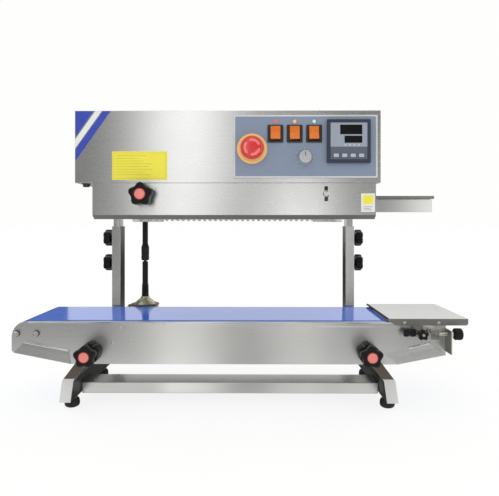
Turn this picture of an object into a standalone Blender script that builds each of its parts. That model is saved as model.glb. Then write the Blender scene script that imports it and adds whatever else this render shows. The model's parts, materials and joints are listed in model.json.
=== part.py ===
"""Bench-top continuous band sealer with a height-adjustable head over a belt conveyor.

Machine frame: +X to the right as the operator sees it, +Y away from the operator, +Z up.
X = 0 lies near the middle of the conveyor, Y = 0 is the front face of the conveyor's front
panel and Z = 0 is the bench.  The whole machine hangs on one empty, which moves that frame
so that the origin is the bottom centre of the machine's box.
"""
import math

import bmesh
import bpy
from mathutils import Matrix, Vector

MM = 0.001

# ---------------------------------------------------------------- driving dimensions (mm)
GAP = 0.3                     # running gap between neighbouring pieces
SHEET = 1.2                   # head sheet metal
PANEL = 2.0                   # conveyor side panels

ORIGIN_X = 14.0               # centre of the machine's box in the machine frame
ORIGIN_Y = 70.85

# conveyor
PANEL_LEFT = -397.0
PANEL_RIGHT = 386.0
PANEL_TOP = 157.0
PANEL_BOTTOM = 80.0
PANEL_LEFT_TOE = (-393.0, 100.0)   # foot of the panel's short left edge
PANEL_LEFT_EDGE_Z = 104.0
PANEL_RIGHT_EDGE_Z = 97.0
BELLY_LEFT = -290.0           # where the level bottom edge starts
BELLY_RIGHT = 299.0
CONVEYOR_DEPTH = 164.0
CORNER_RADIUS = 28.0
BED_LEFT = -338.0             # slider bed under the belt
BED_RIGHT = 330.0
BED_PLAY = 0.6                # between the bed and the belt
FLANGE_FRONT_Y = -30.0        # end flange that carries the tension screw
FLANGE_BOTTOM = 105.0
FLANGE_TOP = 146.0
BELT_WIDTH = 150.0
BELT_THICKNESS = 1.6
BELT_TOP = 158.0
END_ROLLER_RADIUS = 20.4      # to the inner face of the belt
LEFT_ROLLER_X = -368.0
RIGHT_ROLLER_X = 360.0
ROLLER_Z = BELT_TOP - BELT_THICKNESS - END_ROLLER_RADIUS
BELT_MIDDLE_Y = CONVEYOR_DEPTH / 2
DRIVE_X = -195.0              # drive roller and telescopic shaft
DRIVE_ROLLER_RADIUS = 13.5
DRIVE_ROLLER_Z = ROLLER_Z - END_ROLLER_RADIUS + DRIVE_ROLLER_RADIUS
AXLE_RADIUS = 6.0
HOUSING_BOTTOM = 112.0        # bevel-gear housing
HOUSING_RADIUS = 25.0
HOUSING_FLANGE_Z = 153.0
HOUSING_FLANGE = 5.0

# infeed end
TENSION_Y = -14.0
TENSION_Z = 138.0
TENSION_START_X = 349.0
TRAY_KNOB_X = 335.0
TRAY_KNOB_Z = 140.0
TRAY_KNOB_SEAT_Y = -22.0
TRAY_LEFT = 281.0
TRAY_RIGHT = 425.0
TRAY_TOP = 163.0
TRAY_LIP_BOTTOM = 151.0
TRAY_FRONT_Y = -3.4
KNURLED_SCREW_X = 306.5
KNURLED_SCREW_Y = -13.0

# stand
STAND_MIDDLE_X = -3.5
LEG_SPAN = 247.5              # pivot distance from the stand's middle plane
LEG_FRONT_Y = -26.0
LEG_REAR_Y = 226.0
LEG_WIDTH = 20.0
LEG_SHEET = 2.5
LEG_KNOB_Z = 103.5
LEG_BASE = 19.0
LEG_BEND = 58.0               # the slanted stretch runs from here up to the knob
LEG_SLANT = 34.5              # how far the slant leads outward
LEG_SPLAY = 5.5               # further lead from the bend down to the crossbar's top
LEG_SHELF = 79.0              # top of the leg behind the front arm
LEG_ARM_TOP = 118.0
LEG_ARM_REAR_Y = -2.6
KNOB_RADIUS = 20.0
KNOB_HOLE_RADIUS = 4.5
LOBE_UP = 18.0                # turn in degrees that sets one lobe of a knob on a front face upright
FRONT_FOOT_Y = 12.0
REAR_FOOT_Y = 196.0
FOOT_HEIGHT = 18.7
FOOT_RADIUS = 13.5
CROSSBAR_FRONT_Y = 26.0
CROSSBAR_REAR_Y = 79.0
CROSSBAR_TOP = 39.0

# columns
COLUMN_OUTER_X = 258.0        # outer face from the stand's middle plane
COLUMN_WIDTH = 18.0
COLUMN_FRONT_Y = 168.0
COLUMN_DEPTH = 38.0
COLUMN_WALL = 1.6
COLUMN_BOTTOM = 79.3
COLUMN_TOP = 328.0
COLUMN_PLAY = 1.0
COLUMN_MIDDLE_Y = COLUMN_FRONT_Y + COLUMN_DEPTH / 2
COLUMN_KNOBS = (("upper", 303.0), ("lower", 249.5))
INNER_COLUMN_BOTTOM = 150.0
INNER_COLUMN_TOP = 470.0

# head
HEAD_LEFT = -260.5
HEAD_RIGHT = 254.0
HEAD_FRONT_Y = -62.0
HEAD_REAR_Y = 236.4           # outer face of the rear panel
INLET_REAR_Y = 238.0          # rim of the mains socket
HEAD_BOTTOM = 402.0
HEAD_TOP = 523.5
PLATE_THICKNESS = 3.0
COVER_LEFT = -231.0
COVER_RIGHT = 246.0
COVER_BOTTOM = 341.0
COVER_BEND = 348.0
COVER_TOP = HEAD_BOTTOM - 0.5
COVER_SIDE_REAR_Y = 60.0
COVER_FOLD = 10.0             # how far back the turned edge runs
COVER_KNOB = (-144.2, 381.7)
COVER_SLOT = (159.6, 165.6, 371.0, 396.0)
SKIRT_FRONT_Y = 100.0         # rear band guard
SKIRT_REAR_Y = 165.0
SKIRT_BOTTOM = 346.0

# sealing drive
SEAL_Y = BELT_MIDDLE_Y
BAND_THICKNESS = 0.6
BAND_RADIUS = 28.2            # outer radius of the band on its wheels
BAND_BOTTOM = 374.0
BAND_TOP = 389.0
WHEEL_LEFT_X = -165.0
WHEEL_RIGHT_X = 185.0
WHEEL_OFFSET_Y = BAND_RADIUS + 0.2
GUIDE_BELT_THICKNESS = 3.0
GUIDE_BELT_RADIUS = 27.7
GUIDE_BELT_BOTTOM = 338.0
GUIDE_BELT_TOP = 349.0
PRESS_WHEEL_X = -105.0
PRESS_WHEEL_RADIUS = 14.0
PRESS_WHEEL_BOTTOM = 372.0
GUIDE_PLATE_LEFT = 214.0
GUIDE_PLATE_RIGHT = 388.0
GUIDE_PLATE_BOTTOM = 356.0
GUIDE_PLATE_TOP = 387.0
GUIDE_PLATE_OFFSET_Y = 4.5    # from the sealing line to the plate's near face

# telescopic shaft
SHAFT_Y = 190.0
LOWER_SHAFT_BOTTOM = 168.0
UPPER_SHAFT_BOTTOM = 254.0
ROD_RADIUS = 3.0
LOWER_TUBE_RADIUS = 5.0
UPPER_TUBE_RADIUS = 6.0

# control panel
PANEL_X = (7.0, 248.0)
PANEL_Z = (410.0, 515.5)
PANEL_FACE_Y = HEAD_FRONT_Y - GAP - PANEL
ESTOP = (38.0, 458.6)
COLLAR_RADIUS = 25.4
COLLAR_HEIGHT = 3.4
ESTOP_STEM_RADIUS = 8.0
ROCKER_X = (77.1, 109.3, 141.8)
ROCKER_Z = 483.9
ROCKER_WIDTH = 16.4
ROCKER_HALF_HEIGHT = 11.2
ROCKER_PIVOT_Y = -58.0
ROCKER_TILT = 10.0
SPEED_KNOB = (126.1, 444.4)
CONTROLLER = (199.0, 470.8)
CONTROLLER_SIZE = 72.0
KEY_OFFSETS = (-21.0, -7.0, 7.0, 21.0)
KEY_Z = CONTROLLER[1] - 24.0
KEY_WIDTH = 9.0
KEY_HEIGHT = 6.2
KEY_PLAY = 0.5

SIDES = (("left", -1), ("right", 1))
ENDS = (("front", -1), ("rear", 1))

# ---------------------------------------------------------------- colours
FINISHES = {
    "stainless": ((0.62, 0.62, 0.60), 0.32, 1.0),
    "dull_steel": ((0.45, 0.45, 0.44), 0.45, 1.0),
    "zinc": ((0.55, 0.54, 0.42), 0.40, 1.0),
    "brass": ((0.72, 0.53, 0.30), 0.30, 1.0),
    "nickel": ((0.75, 0.74, 0.70), 0.20, 1.0),
    "aluminium": ((0.70, 0.71, 0.72), 0.40, 1.0),
    "belt_blue": ((0.06, 0.12, 0.58), 0.22, 0.0),
    "black_plastic": ((0.02, 0.02, 0.02), 0.45, 0.0),
    "black_steel": ((0.03, 0.03, 0.03), 0.40, 0.6),
    "rubber": ((0.03, 0.03, 0.03), 0.80, 0.0),
    "panel_grey": ((0.30, 0.34, 0.45), 0.50, 0.0),
    "estop_yellow": ((0.95, 0.55, 0.08), 0.40, 0.0),
    "estop_red": ((0.80, 0.03, 0.03), 0.30, 0.0),
    "rocker_orange": ((0.95, 0.30, 0.05), 0.30, 0.0),
    "controller_blue": ((0.03, 0.04, 0.10), 0.45, 0.0),
    "key_grey": ((0.45, 0.47, 0.52), 0.55, 0.0),
    "band_brown": ((0.35, 0.22, 0.12), 0.50, 0.0),
    "guide_belt_white": ((0.75, 0.75, 0.72), 0.60, 0.0),
    "silicone": ((0.55, 0.16, 0.12), 0.60, 0.0),
}


# ---------------------------------------------------------------- helpers
def clear_scene():
    for obj in list(bpy.data.objects):
        bpy.data.objects.remove(obj, do_unlink=True)


def make_collection(name):
    collection = bpy.data.collections.new(name)
    bpy.context.scene.collection.children.link(collection)
    return collection


def finish_material(name):
    found = bpy.data.materials.get(name)
    if found:
        return found
    colour, roughness, metallic = FINISHES[name]
    material = bpy.data.materials.new(name)
    material.use_nodes = True
    shader = material.node_tree.nodes["Principled BSDF"]
    shader.inputs["Base Color"].default_value = (*colour, 1.0)
    shader.inputs["Roughness"].default_value = roughness
    shader.inputs["Metallic"].default_value = metallic
    material.diffuse_color = (*colour, 1.0)
    return material


def place(mesh, name, finish=None, at=(0.0, 0.0, 0.0)):
    """Link a mesh whose vertices are in the machine frame, with its origin at a point (mm)."""
    origin = Vector(at) * MM
    mesh.transform(Matrix.Translation(-origin))
    obj = bpy.data.objects.new(name, mesh)
    obj.location = origin
    obj.parent = MACHINE
    if finish:
        mesh.materials.append(finish_material(finish))
        PARTS.objects.link(obj)
    else:
        CUTTERS.objects.link(obj)
        obj.hide_render = True
        obj.display_type = "WIRE"
    return obj


def box(name, low, high, finish=None, at=(0.0, 0.0, 0.0)):
    """A box between two corners (mm)."""
    low = Vector(low) * MM
    high = Vector(high) * MM
    bm = bmesh.new()
    bmesh.ops.create_cube(bm, size=1.0)
    bmesh.ops.scale(bm, vec=high - low, verts=bm.verts)
    bmesh.ops.translate(bm, vec=(low + high) / 2, verts=bm.verts)
    mesh = bpy.data.meshes.new(name)
    bm.to_mesh(mesh)
    bm.free()
    return place(mesh, name, finish, at)


def axis_matrix(axis):
    """Turn local +Z onto a direction."""
    return Vector((0.0, 0.0, 1.0)).rotation_difference(Vector(axis)).to_matrix().to_4x4()


def cylinder(name, start, axis, radius, length, segments=24):
    """A cylindrical tool for a Boolean, from a start point (mm) along an axis."""
    bm = bmesh.new()
    bmesh.ops.create_cone(
        bm, cap_ends=True, segments=segments,
        radius1=radius * MM, radius2=radius * MM, depth=length * MM)
    bmesh.ops.translate(bm, vec=(0.0, 0.0, length * MM / 2), verts=bm.verts)
    mesh = bpy.data.meshes.new(name)
    bm.to_mesh(mesh)
    bm.free()
    mesh.transform(Matrix.Translation(Vector(start) * MM) @ axis_matrix(axis))
    mesh.shade_smooth()
    mesh.set_sharp_from_angle(angle=math.radians(35))
    return place(mesh, name)


def turned(name, base, axis, profile, finish, segments=24):
    """A turned piece: (radius, height) pairs from the top end to the bottom end (mm).

    The object's origin is the base point and its local Z axis is the turning axis.
    """
    mesh = bpy.data.meshes.new(name)
    points = [(radius * MM, 0.0, height * MM) for radius, height in profile]
    edges = [(i, i + 1) for i in range(len(points) - 1)]
    mesh.from_pydata(points, edges, [])
    obj = place(mesh, name, finish)
    obj.location = Vector(base) * MM
    obj.rotation_mode = "QUATERNION"
    obj.rotation_quaternion = Vector((0.0, 0.0, 1.0)).rotation_difference(Vector(axis))
    screw = obj.modifiers.new("turn", "SCREW")
    screw.steps = segments
    screw.render_steps = segments
    screw.use_merge_vertices = True
    screw.merge_threshold = 0.00005
    screw.use_smooth_shade = True
    return obj


def outline(name, loops, plane, low, high, finish=None, at=(0.0, 0.0, 0.0)):
    """A flat outline pulled into a plate.

    loops: one outer loop and any holes, as 2-D points in mm.
    plane: "XZ" (thickness along Y) or "YZ" (thickness along X) or "XY" (along Z).
    low, high: where the thickness starts and ends (mm).
    """
    curve = bpy.data.curves.new(name, "CURVE")
    curve.dimensions = "2D"
    curve.fill_mode = "BOTH"
    curve.extrude = (high - low) / 2 * MM
    for loop in loops:
        spline = curve.splines.new("POLY")
        spline.points.add(len(loop) - 1)
        for point, (u, v) in zip(spline.points, loop):
            point.co = (u * MM, v * MM, 0.0, 1.0)
        spline.use_cyclic_u = True
    curve_object = bpy.data.objects.new(name, curve)
    bpy.context.scene.collection.objects.link(curve_object)
    bpy.context.view_layer.update()
    graph = bpy.context.evaluated_depsgraph_get()
    mesh = bpy.data.meshes.new_from_object(curve_object.evaluated_get(graph))
    bpy.data.objects.remove(curve_object, do_unlink=True)
    bpy.data.curves.remove(curve)
    bm = bmesh.new()
    bm.from_mesh(mesh)
    bmesh.ops.remove_doubles(bm, verts=bm.verts, dist=0.00001)
    bm.to_mesh(mesh)
    bm.free()
    middle = (low + high) / 2 * MM
    if plane == "XZ":
        turn = Matrix.Translation((0.0, middle, 0.0)) @ Matrix.Rotation(math.radians(90), 4, "X")
    elif plane == "YZ":
        turn = (Matrix.Translation((middle, 0.0, 0.0)) @ Matrix.Rotation(math.radians(90), 4, "Z")
                @ Matrix.Rotation(math.radians(90), 4, "X"))
    else:
        turn = Matrix.Translation((0.0, 0.0, middle))
    mesh.transform(turn)
    mesh.materials.clear()
    return place(mesh, name, finish, at)


def combine(target, tool, operation):
    modifier = target.modifiers.new(operation.lower(), "BOOLEAN")
    modifier.operation = operation
    modifier.solver = "EXACT"
    modifier.object = tool


def cut(target, *tools):
    for tool in tools:
        combine(target, tool, "DIFFERENCE")


def join(target, *tools):
    for tool in tools:
        combine(target, tool, "UNION")


def arc(centre, radius, start, end, steps):
    """Points on an arc, with angles in degrees."""
    points = []
    for i in range(steps + 1):
        angle = math.radians(start + (end - start) * i / steps)
        points.append((centre[0] + radius * math.cos(angle), centre[1] + radius * math.sin(angle)))
    return points


def loop_outline(left, right, middle, radius, steps=12):
    """A belt's path round two equal wheels."""
    return arc((right, middle), radius, -90, 90, steps) + arc((left, middle), radius, 90, 270, steps)


def lobed_outline(radius, lobes, depth, per_lobe=6):
    """A star-knob outline: a circle whose radius dips between the lobes."""
    points = []
    count = lobes * per_lobe
    for i in range(count):
        angle = 2 * math.pi * i / count
        dip = 0.5 - 0.5 * math.cos(lobes * angle)
        reach = radius - depth * dip
        points.append((reach * math.cos(angle), reach * math.sin(angle)))
    return points


# ---------------------------------------------------------------- conveyor
def conveyor_frame():
    panel = [
        (PANEL_LEFT, PANEL_LEFT_EDGE_Z), PANEL_LEFT_TOE, (BELLY_LEFT, PANEL_BOTTOM),
        (BELLY_RIGHT, PANEL_BOTTOM), (PANEL_RIGHT, PANEL_RIGHT_EDGE_Z), (PANEL_RIGHT, PANEL_TOP),
    ]
    panel += arc((PANEL_LEFT + CORNER_RADIUS, PANEL_TOP - CORNER_RADIUS), CORNER_RADIUS, 90, 180, 8)
    frame = outline("conveyor_frame", [panel], "XZ", 0.0, PANEL, "stainless")
    rear = outline("rear_panel_blank", [panel], "XZ", CONVEYOR_DEPTH - PANEL, CONVEYOR_DEPTH)
    bed_top = BELT_TOP - BELT_THICKNESS - BED_PLAY
    bed = box("bed_blank", (BED_LEFT, PANEL / 2, bed_top - PANEL),
              (BED_RIGHT, CONVEYOR_DEPTH - PANEL / 2, bed_top))
    flange = box("end_flange_blank", (PANEL_RIGHT - PANEL, FLANGE_FRONT_Y, FLANGE_BOTTOM),
                 (PANEL_RIGHT, PANEL / 2, FLANGE_TOP))
    join(frame, rear, bed, flange)
    for side, sign in SIDES:
        x = STAND_MIDDLE_X + sign * LEG_SPAN
        cut(frame, cylinder(f"{side}_knob_hole", (x, -5.0, LEG_KNOB_Z), (0, 1, 0), KNOB_HOLE_RADIUS,
                            12.0, segments=16))
    cut(frame, cylinder("tension_hole", (PANEL_RIGHT - 6.0, TENSION_Y, TENSION_Z), (1, 0, 0),
                        ROD_RADIUS + 0.5, 10.0, segments=16))
    cut(frame, cylinder("drive_axle_hole", (DRIVE_X, CONVEYOR_DEPTH - 6.0, DRIVE_ROLLER_Z), (0, 1, 0),
                        AXLE_RADIUS + 1.0, 10.0, segments=16))
    slot = AXLE_RADIUS + 0.5
    cut(frame, box("axle_slot", (RIGHT_ROLLER_X - 9.0, -1.0, ROLLER_Z - slot),
                   (RIGHT_ROLLER_X + 9.0, PANEL + 1.0, ROLLER_Z + slot)))
    cut(frame, cylinder("tray_stud_hole", (TRAY_KNOB_X, -2.0, TRAY_KNOB_Z), (0, 1, 0), 3.5, 8.0,
                        segments=16))
    return frame


def conveyor_belt():
    outer = loop_outline(LEFT_ROLLER_X, RIGHT_ROLLER_X, ROLLER_Z, END_ROLLER_RADIUS + BELT_THICKNESS)
    inner = loop_outline(LEFT_ROLLER_X, RIGHT_ROLLER_X, ROLLER_Z, END_ROLLER_RADIUS)
    front = BELT_MIDDLE_Y - BELT_WIDTH / 2
    return outline("conveyor_belt", [outer, inner], "XZ", front, front + BELT_WIDTH, "belt_blue")


def roller(name, x, z, radius, rear_axle, finish, start=PANEL + GAP):
    """A roller across the belt; its origin is on its axis at the front end of the axle."""
    body_start = BELT_MIDDLE_Y - BELT_WIDTH / 2 + 1.0 - start
    body_end = body_start + BELT_WIDTH - 2.0
    end = rear_axle - start
    profile = [
        (0.0, end), (AXLE_RADIUS, end), (AXLE_RADIUS, body_end), (radius, body_end),
        (radius, body_start), (AXLE_RADIUS, body_start), (AXLE_RADIUS, 0.0), (0.0, 0.0),
    ]
    return turned(name, (x, start, z), (0, 1, 0), profile, finish)


def rollers():
    inner_face = CONVEYOR_DEPTH - PANEL - GAP
    roller("left_end_roller", LEFT_ROLLER_X, ROLLER_Z, END_ROLLER_RADIUS - GAP, inner_face, "dull_steel")
    roller("right_end_roller", RIGHT_ROLLER_X, ROLLER_Z, END_ROLLER_RADIUS - GAP, inner_face,
           "dull_steel", start=-8.0)
    roller("drive_roller", DRIVE_X, DRIVE_ROLLER_Z, DRIVE_ROLLER_RADIUS - GAP, SHAFT_Y - 16.0, "rubber")


def gear_housing():
    """Bevel-gear housing behind the rear panel, with a bore for each of its two shafts."""
    back = CONVEYOR_DEPTH + GAP
    housing = turned("gear_housing", (DRIVE_X, SHAFT_Y, HOUSING_BOTTOM), (0, 0, 1), [
        (0.0, 64.0), (8.5, 64.0), (10.0, 62.0), (16.0, 57.0), (22.0, 49.0), (HOUSING_RADIUS, 44.0),
        (HOUSING_RADIUS, 0.0), (0.0, 0.0)], "zinc")
    flange = box("housing_flange_blank", (DRIVE_X - 34.0, back, HOUSING_FLANGE_Z),
                 (DRIVE_X + 30.0, SHAFT_Y, HOUSING_FLANGE_Z + HOUSING_FLANGE))
    foot = box("housing_foot_blank", (DRIVE_X - 20.0, back, HOUSING_BOTTOM),
               (DRIVE_X + 20.0, SHAFT_Y, HOUSING_FLANGE_Z))
    join(housing, flange, foot)
    cut(housing,
        cylinder("housing_shaft_bore", (DRIVE_X, SHAFT_Y, LOWER_SHAFT_BOTTOM - 2.0), (0, 0, 1),
                 LOWER_TUBE_RADIUS + 0.5, 20.0),
        cylinder("housing_axle_bore", (DRIVE_X, CONVEYOR_DEPTH - 4.0, DRIVE_ROLLER_Z), (0, 1, 0),
                 AXLE_RADIUS + 0.6, 16.0))


def lower_drive_shaft():
    """Lower half of the telescopic shaft: seat, rubber boot, rod and slim sliding rod."""
    turned("lower_drive_shaft", (DRIVE_X, SHAFT_Y, LOWER_SHAFT_BOTTOM), (0, 0, 1), [
        (0.0, 217.0), (ROD_RADIUS, 217.0), (ROD_RADIUS, 84.0), (LOWER_TUBE_RADIUS, 83.0),
        (LOWER_TUBE_RADIUS, 36.0), (6.8, 35.0), (7.6, 9.0), (LOWER_TUBE_RADIUS, 8.6),
        (LOWER_TUBE_RADIUS, 0.0), (0.0, 0.0)], "black_steel", 24)


# ---------------------------------------------------------------- infeed end
def infeed_tray():
    """Folded tray whose front lip carries the block for the two clamping screws."""
    rear = CONVEYOR_DEPTH - TRAY_FRONT_Y
    tray = box("infeed_tray", (TRAY_LEFT, TRAY_FRONT_Y, TRAY_TOP - SHEET),
               (TRAY_RIGHT, rear, TRAY_TOP), "stainless")
    lip = [(TRAY_LEFT, TRAY_TOP - 0.2), (TRAY_LEFT, TRAY_TOP - 3.0), (TRAY_LEFT + 14.0, TRAY_LIP_BOTTOM),
           (TRAY_RIGHT - 3.0, TRAY_LIP_BOTTOM), (TRAY_RIGHT, TRAY_LIP_BOTTOM + 3.0),
           (TRAY_RIGHT, TRAY_TOP - 0.2)]
    front_lip = outline("front_lip_blank", [lip], "XZ", TRAY_FRONT_Y, TRAY_FRONT_Y + SHEET)
    rear_lip = outline("rear_lip_blank", [lip], "XZ", rear - SHEET, rear)
    hem = box("hem_blank", (TRAY_RIGHT - SHEET, TRAY_FRONT_Y + 0.2, 156.0),
              (TRAY_RIGHT, rear - 0.2, TRAY_TOP - 0.2))
    tab = box("tab_blank", (325.5, TRAY_FRONT_Y, 131.0), (344.5, TRAY_FRONT_Y + SHEET, 152.0))
    block = box("clamp_block_blank", (328.5, -19.0, 134.0), (341.5, TRAY_FRONT_Y + 0.5, 146.0))
    join(tray, front_lip, rear_lip, hem, tab, block)
    cut(tray,
        cylinder("stud_hole", (TRAY_KNOB_X, TRAY_KNOB_SEAT_Y, TRAY_KNOB_Z), (0, 1, 0), ROD_RADIUS + 0.3,
                 24.0, segments=16),
        cylinder("screw_seat", (325.5, KNURLED_SCREW_Y, TRAY_KNOB_Z), (1, 0, 0), 2.8, 5.5, segments=16))


def tray_knobs():
    """Star knob that clamps the tray and the knurled screw beside it."""
    knob = outline("tray_star_knob", [[(TRAY_KNOB_X + u, TRAY_KNOB_Z + v)
                                       for u, v in lobed_outline(9.8, 5, 2.2)]],
                   "XZ", TRAY_KNOB_SEAT_Y - 14.0, TRAY_KNOB_SEAT_Y, "black_plastic",
                   at=(TRAY_KNOB_X, TRAY_KNOB_SEAT_Y, TRAY_KNOB_Z))
    join(knob, cylinder("tray_stud_blank", (TRAY_KNOB_X, TRAY_KNOB_SEAT_Y - 2.0, TRAY_KNOB_Z), (0, 1, 0),
                        ROD_RADIUS, 29.0, segments=12))
    turned("tray_knurled_screw", (KNURLED_SCREW_X, KNURLED_SCREW_Y, TRAY_KNOB_Z), (1, 0, 0), [
        (0.0, 24.0), (2.4, 24.0), (2.4, 20.8), (6.0, 20.8), (6.8, 20.0), (6.8, 1.2), (5.6, 0.0),
        (0.0, 0.0)], "black_plastic", 20)


def belt_tension():
    """Axle block of the right end roller and the screw that pulls it to tighten the belt."""
    block = box("belt_tension_block", (352.0, -21.0, 129.0), (367.0, -0.3, 147.0), "nickel")
    cut(block,
        cylinder("block_thread", (350.0, TENSION_Y, TENSION_Z), (1, 0, 0), ROD_RADIUS + 0.4, 20.0,
                 segments=16),
        cylinder("block_axle_bore", (RIGHT_ROLLER_X, -9.0, ROLLER_Z), (0, 1, 0), AXLE_RADIUS + 0.3, 12.0))
    turned("belt_tension_screw", (TENSION_START_X, TENSION_Y, TENSION_Z), (1, 0, 0), [
        (0.0, 60.0), (9.0, 60.0), (10.3, 58.5), (10.3, 46.5), (9.0, 45.0), (5.0, 45.0),
        (5.0, 37.6), (ROD_RADIUS, 37.4), (ROD_RADIUS, 0.0), (0.0, 0.0)], "brass", 20)


# ---------------------------------------------------------------- stand
def leg_edge(z):
    """Distance of a leg's inner edge from the stand's middle plane at a height."""
    knob_edge = LEG_SPAN - LEG_WIDTH / 2
    if z >= LEG_BEND:
        return knob_edge + (LEG_KNOB_Z - min(z, LEG_KNOB_Z)) * LEG_SLANT / (LEG_KNOB_Z - LEG_BEND)
    return knob_edge + LEG_SLANT + (LEG_BEND - z) * LEG_SPLAY / (LEG_BEND - LEG_BASE)


def leg_outline(heights, grow_in, grow_out, sign):
    """A leg's front outline between heights, with its inner and outer edges moved."""
    inner = [(leg_edge(z) - grow_in, z) for z in heights]
    outer = [(leg_edge(z) + LEG_WIDTH + grow_out, z) for z in reversed(heights)]
    return [(STAND_MIDDLE_X + sign * x, z) for x, z in inner + outer]


def leg(side, sign):
    """A folded side plate: web, front and rear faces, foot flange, top shelf and front arm."""
    name = f"{side}_leg"
    body = outline(name, [leg_outline((LEG_BASE, LEG_BEND, LEG_KNOB_Z, LEG_ARM_TOP), 0.0, 0.0, sign)],
                   "XZ", LEG_FRONT_Y, LEG_REAR_Y, "stainless")
    above_shelf = box(f"{name}_above_shelf", (PANEL_LEFT, LEG_ARM_REAR_Y, LEG_SHELF),
                      (PANEL_RIGHT, LEG_REAR_Y + 50.0, LEG_ARM_TOP + 20.0))
    pocket = outline(
        f"{name}_pocket",
        [leg_outline((LEG_BASE + LEG_SHEET, LEG_BEND, LEG_SHELF - LEG_SHEET), -LEG_SHEET, 6.0, sign)],
        "XZ", LEG_FRONT_Y + LEG_SHEET, LEG_REAR_Y - LEG_SHEET)
    arm_pocket = outline(
        f"{name}_arm_pocket",
        [leg_outline((LEG_SHELF + 0.5, LEG_KNOB_Z, LEG_ARM_TOP - LEG_SHEET), -LEG_SHEET, -LEG_SHEET, sign)],
        "XZ", LEG_FRONT_Y + LEG_SHEET, LEG_ARM_REAR_Y + 4.0)
    x = STAND_MIDDLE_X + sign * LEG_SPAN
    hole = cylinder(f"{name}_knob_hole", (x, LEG_FRONT_Y - 2.0, LEG_KNOB_Z), (0, 1, 0), KNOB_HOLE_RADIUS,
                    8.0, segments=16)
    seat_xs = sorted((STAND_MIDDLE_X + sign * (COLUMN_OUTER_X - COLUMN_WIDTH - 1.0),
                      STAND_MIDDLE_X + sign * (leg_edge(LEG_SHELF) + 4.0)))
    seat = box(f"{name}_column_seat",
               (seat_xs[0], CONVEYOR_DEPTH + 0.5, LEG_SHELF - LEG_SHEET - 0.4),
               (seat_xs[1], COLUMN_FRONT_Y + COLUMN_DEPTH + 2.0, LEG_SHELF - 0.2))
    cut(body, above_shelf, pocket, arm_pocket, hole)
    join(body, seat)


def foot(name, x, y):
    turned(name, (x, y, 0.0), (0, 0, 1), [
        (0.0, FOOT_HEIGHT), (9.0, FOOT_HEIGHT), (12.0, 15.0), (FOOT_RADIUS, 11.0), (FOOT_RADIUS, 5.0),
        (12.2, 1.6), (9.5, 0.0), (0.0, 0.0)], "rubber", 24)


def stand():
    for side, sign in SIDES:
        leg(side, sign)
        x = STAND_MIDDLE_X + sign * (leg_edge(LEG_BASE) + LEG_WIDTH / 2)
        foot(f"front_{side}_foot", x, FRONT_FOOT_Y)
        foot(f"rear_{side}_foot", x, REAR_FOOT_Y)
    reach = leg_edge(CROSSBAR_TOP) - GAP - 0.1
    bar = box("crossbar", (STAND_MIDDLE_X - reach, CROSSBAR_FRONT_Y, LEG_BASE),
              (STAND_MIDDLE_X + reach, CROSSBAR_REAR_Y, CROSSBAR_TOP), "stainless")
    cut(bar, box("crossbar_hollow",
                 (STAND_MIDDLE_X - reach - 5.0, CROSSBAR_FRONT_Y + PANEL, LEG_BASE - 5.0),
                 (STAND_MIDDLE_X + reach + 5.0, CROSSBAR_REAR_Y - PANEL, CROSSBAR_TOP - PANEL)))


def star_knob(name, centre, axis, radius, height, stud_length, turn=0.0):
    """A five-lobed clamping knob with a cap recess and its stud, on an axis from the seat outward."""
    outer = lobed_outline(radius, 5, radius * 0.2)
    knob = outline(name, [outer], "XY", 5.0, height, "black_plastic")
    neck = cylinder(f"{name}_neck", (0, 0, 0), (0, 0, 1), radius * 0.45, 7.0, segments=12)
    stud = cylinder(f"{name}_stud", (0, 0, -stud_length), (0, 0, 1), 4.0, stud_length + 2.0,
                    segments=12)
    recess = cylinder(f"{name}_cap_recess", (0, 0, height - 1.5), (0, 0, 1), radius * 0.5, 4.0,
                      segments=16)
    turn_matrix = axis_matrix(axis) @ Matrix.Rotation(math.radians(turn), 4, "Z")
    for piece in (knob, neck, stud, recess):
        piece.data.transform(turn_matrix)
        piece.location = Vector(centre) * MM
    join(knob, neck, stud)
    cut(knob, recess)
    return knob


def clamp_knobs():
    for side, sign in SIDES:
        x = STAND_MIDDLE_X + sign * LEG_SPAN
        star_knob(f"{side}_leg_knob", (x, LEG_FRONT_Y - GAP, LEG_KNOB_Z), (0, -1, 0), KNOB_RADIUS, 22.0, 34.0,
                  turn=LOBE_UP)
        face = STAND_MIDDLE_X + sign * (COLUMN_OUTER_X + GAP)
        for level, z in COLUMN_KNOBS:
            star_knob(f"{side}_{level}_column_knob", (face, COLUMN_MIDDLE_Y, z), (sign, 0, 0), 18.0, 18.0,
                      COLUMN_WALL + GAP + 0.3)


# ---------------------------------------------------------------- columns
def outer_columns():
    for side, sign in SIDES:
        xs = sorted((STAND_MIDDLE_X + sign * COLUMN_OUTER_X,
                     STAND_MIDDLE_X + sign * (COLUMN_OUTER_X - COLUMN_WIDTH)))
        rear = COLUMN_FRONT_Y + COLUMN_DEPTH
        tube = box(f"{side}_outer_column", (xs[0], COLUMN_FRONT_Y, COLUMN_BOTTOM),
                   (xs[1], rear, COLUMN_TOP), "stainless")
        bore = box(f"{side}_column_bore", (xs[0] + COLUMN_WALL, COLUMN_FRONT_Y + COLUMN_WALL, 90.0),
                   (xs[1] - COLUMN_WALL, rear - COLUMN_WALL, COLUMN_TOP + 5.0))
        pad = box(f"{side}_column_pad", (xs[0] + 1.0, CONVEYOR_DEPTH + GAP, 96.0),
                  (xs[1] - 1.0, COLUMN_FRONT_Y + 1.0, 144.0))
        cut(tube, bore)
        join(tube, pad)
        for level, z in COLUMN_KNOBS:
            start = STAND_MIDDLE_X + sign * (COLUMN_OUTER_X + 2.0)
            cut(tube, cylinder(f"{side}_{level}_clamp_hole", (start, COLUMN_MIDDLE_Y, z), (-sign, 0, 0),
                               4.4, 5.0, segments=16))


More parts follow.
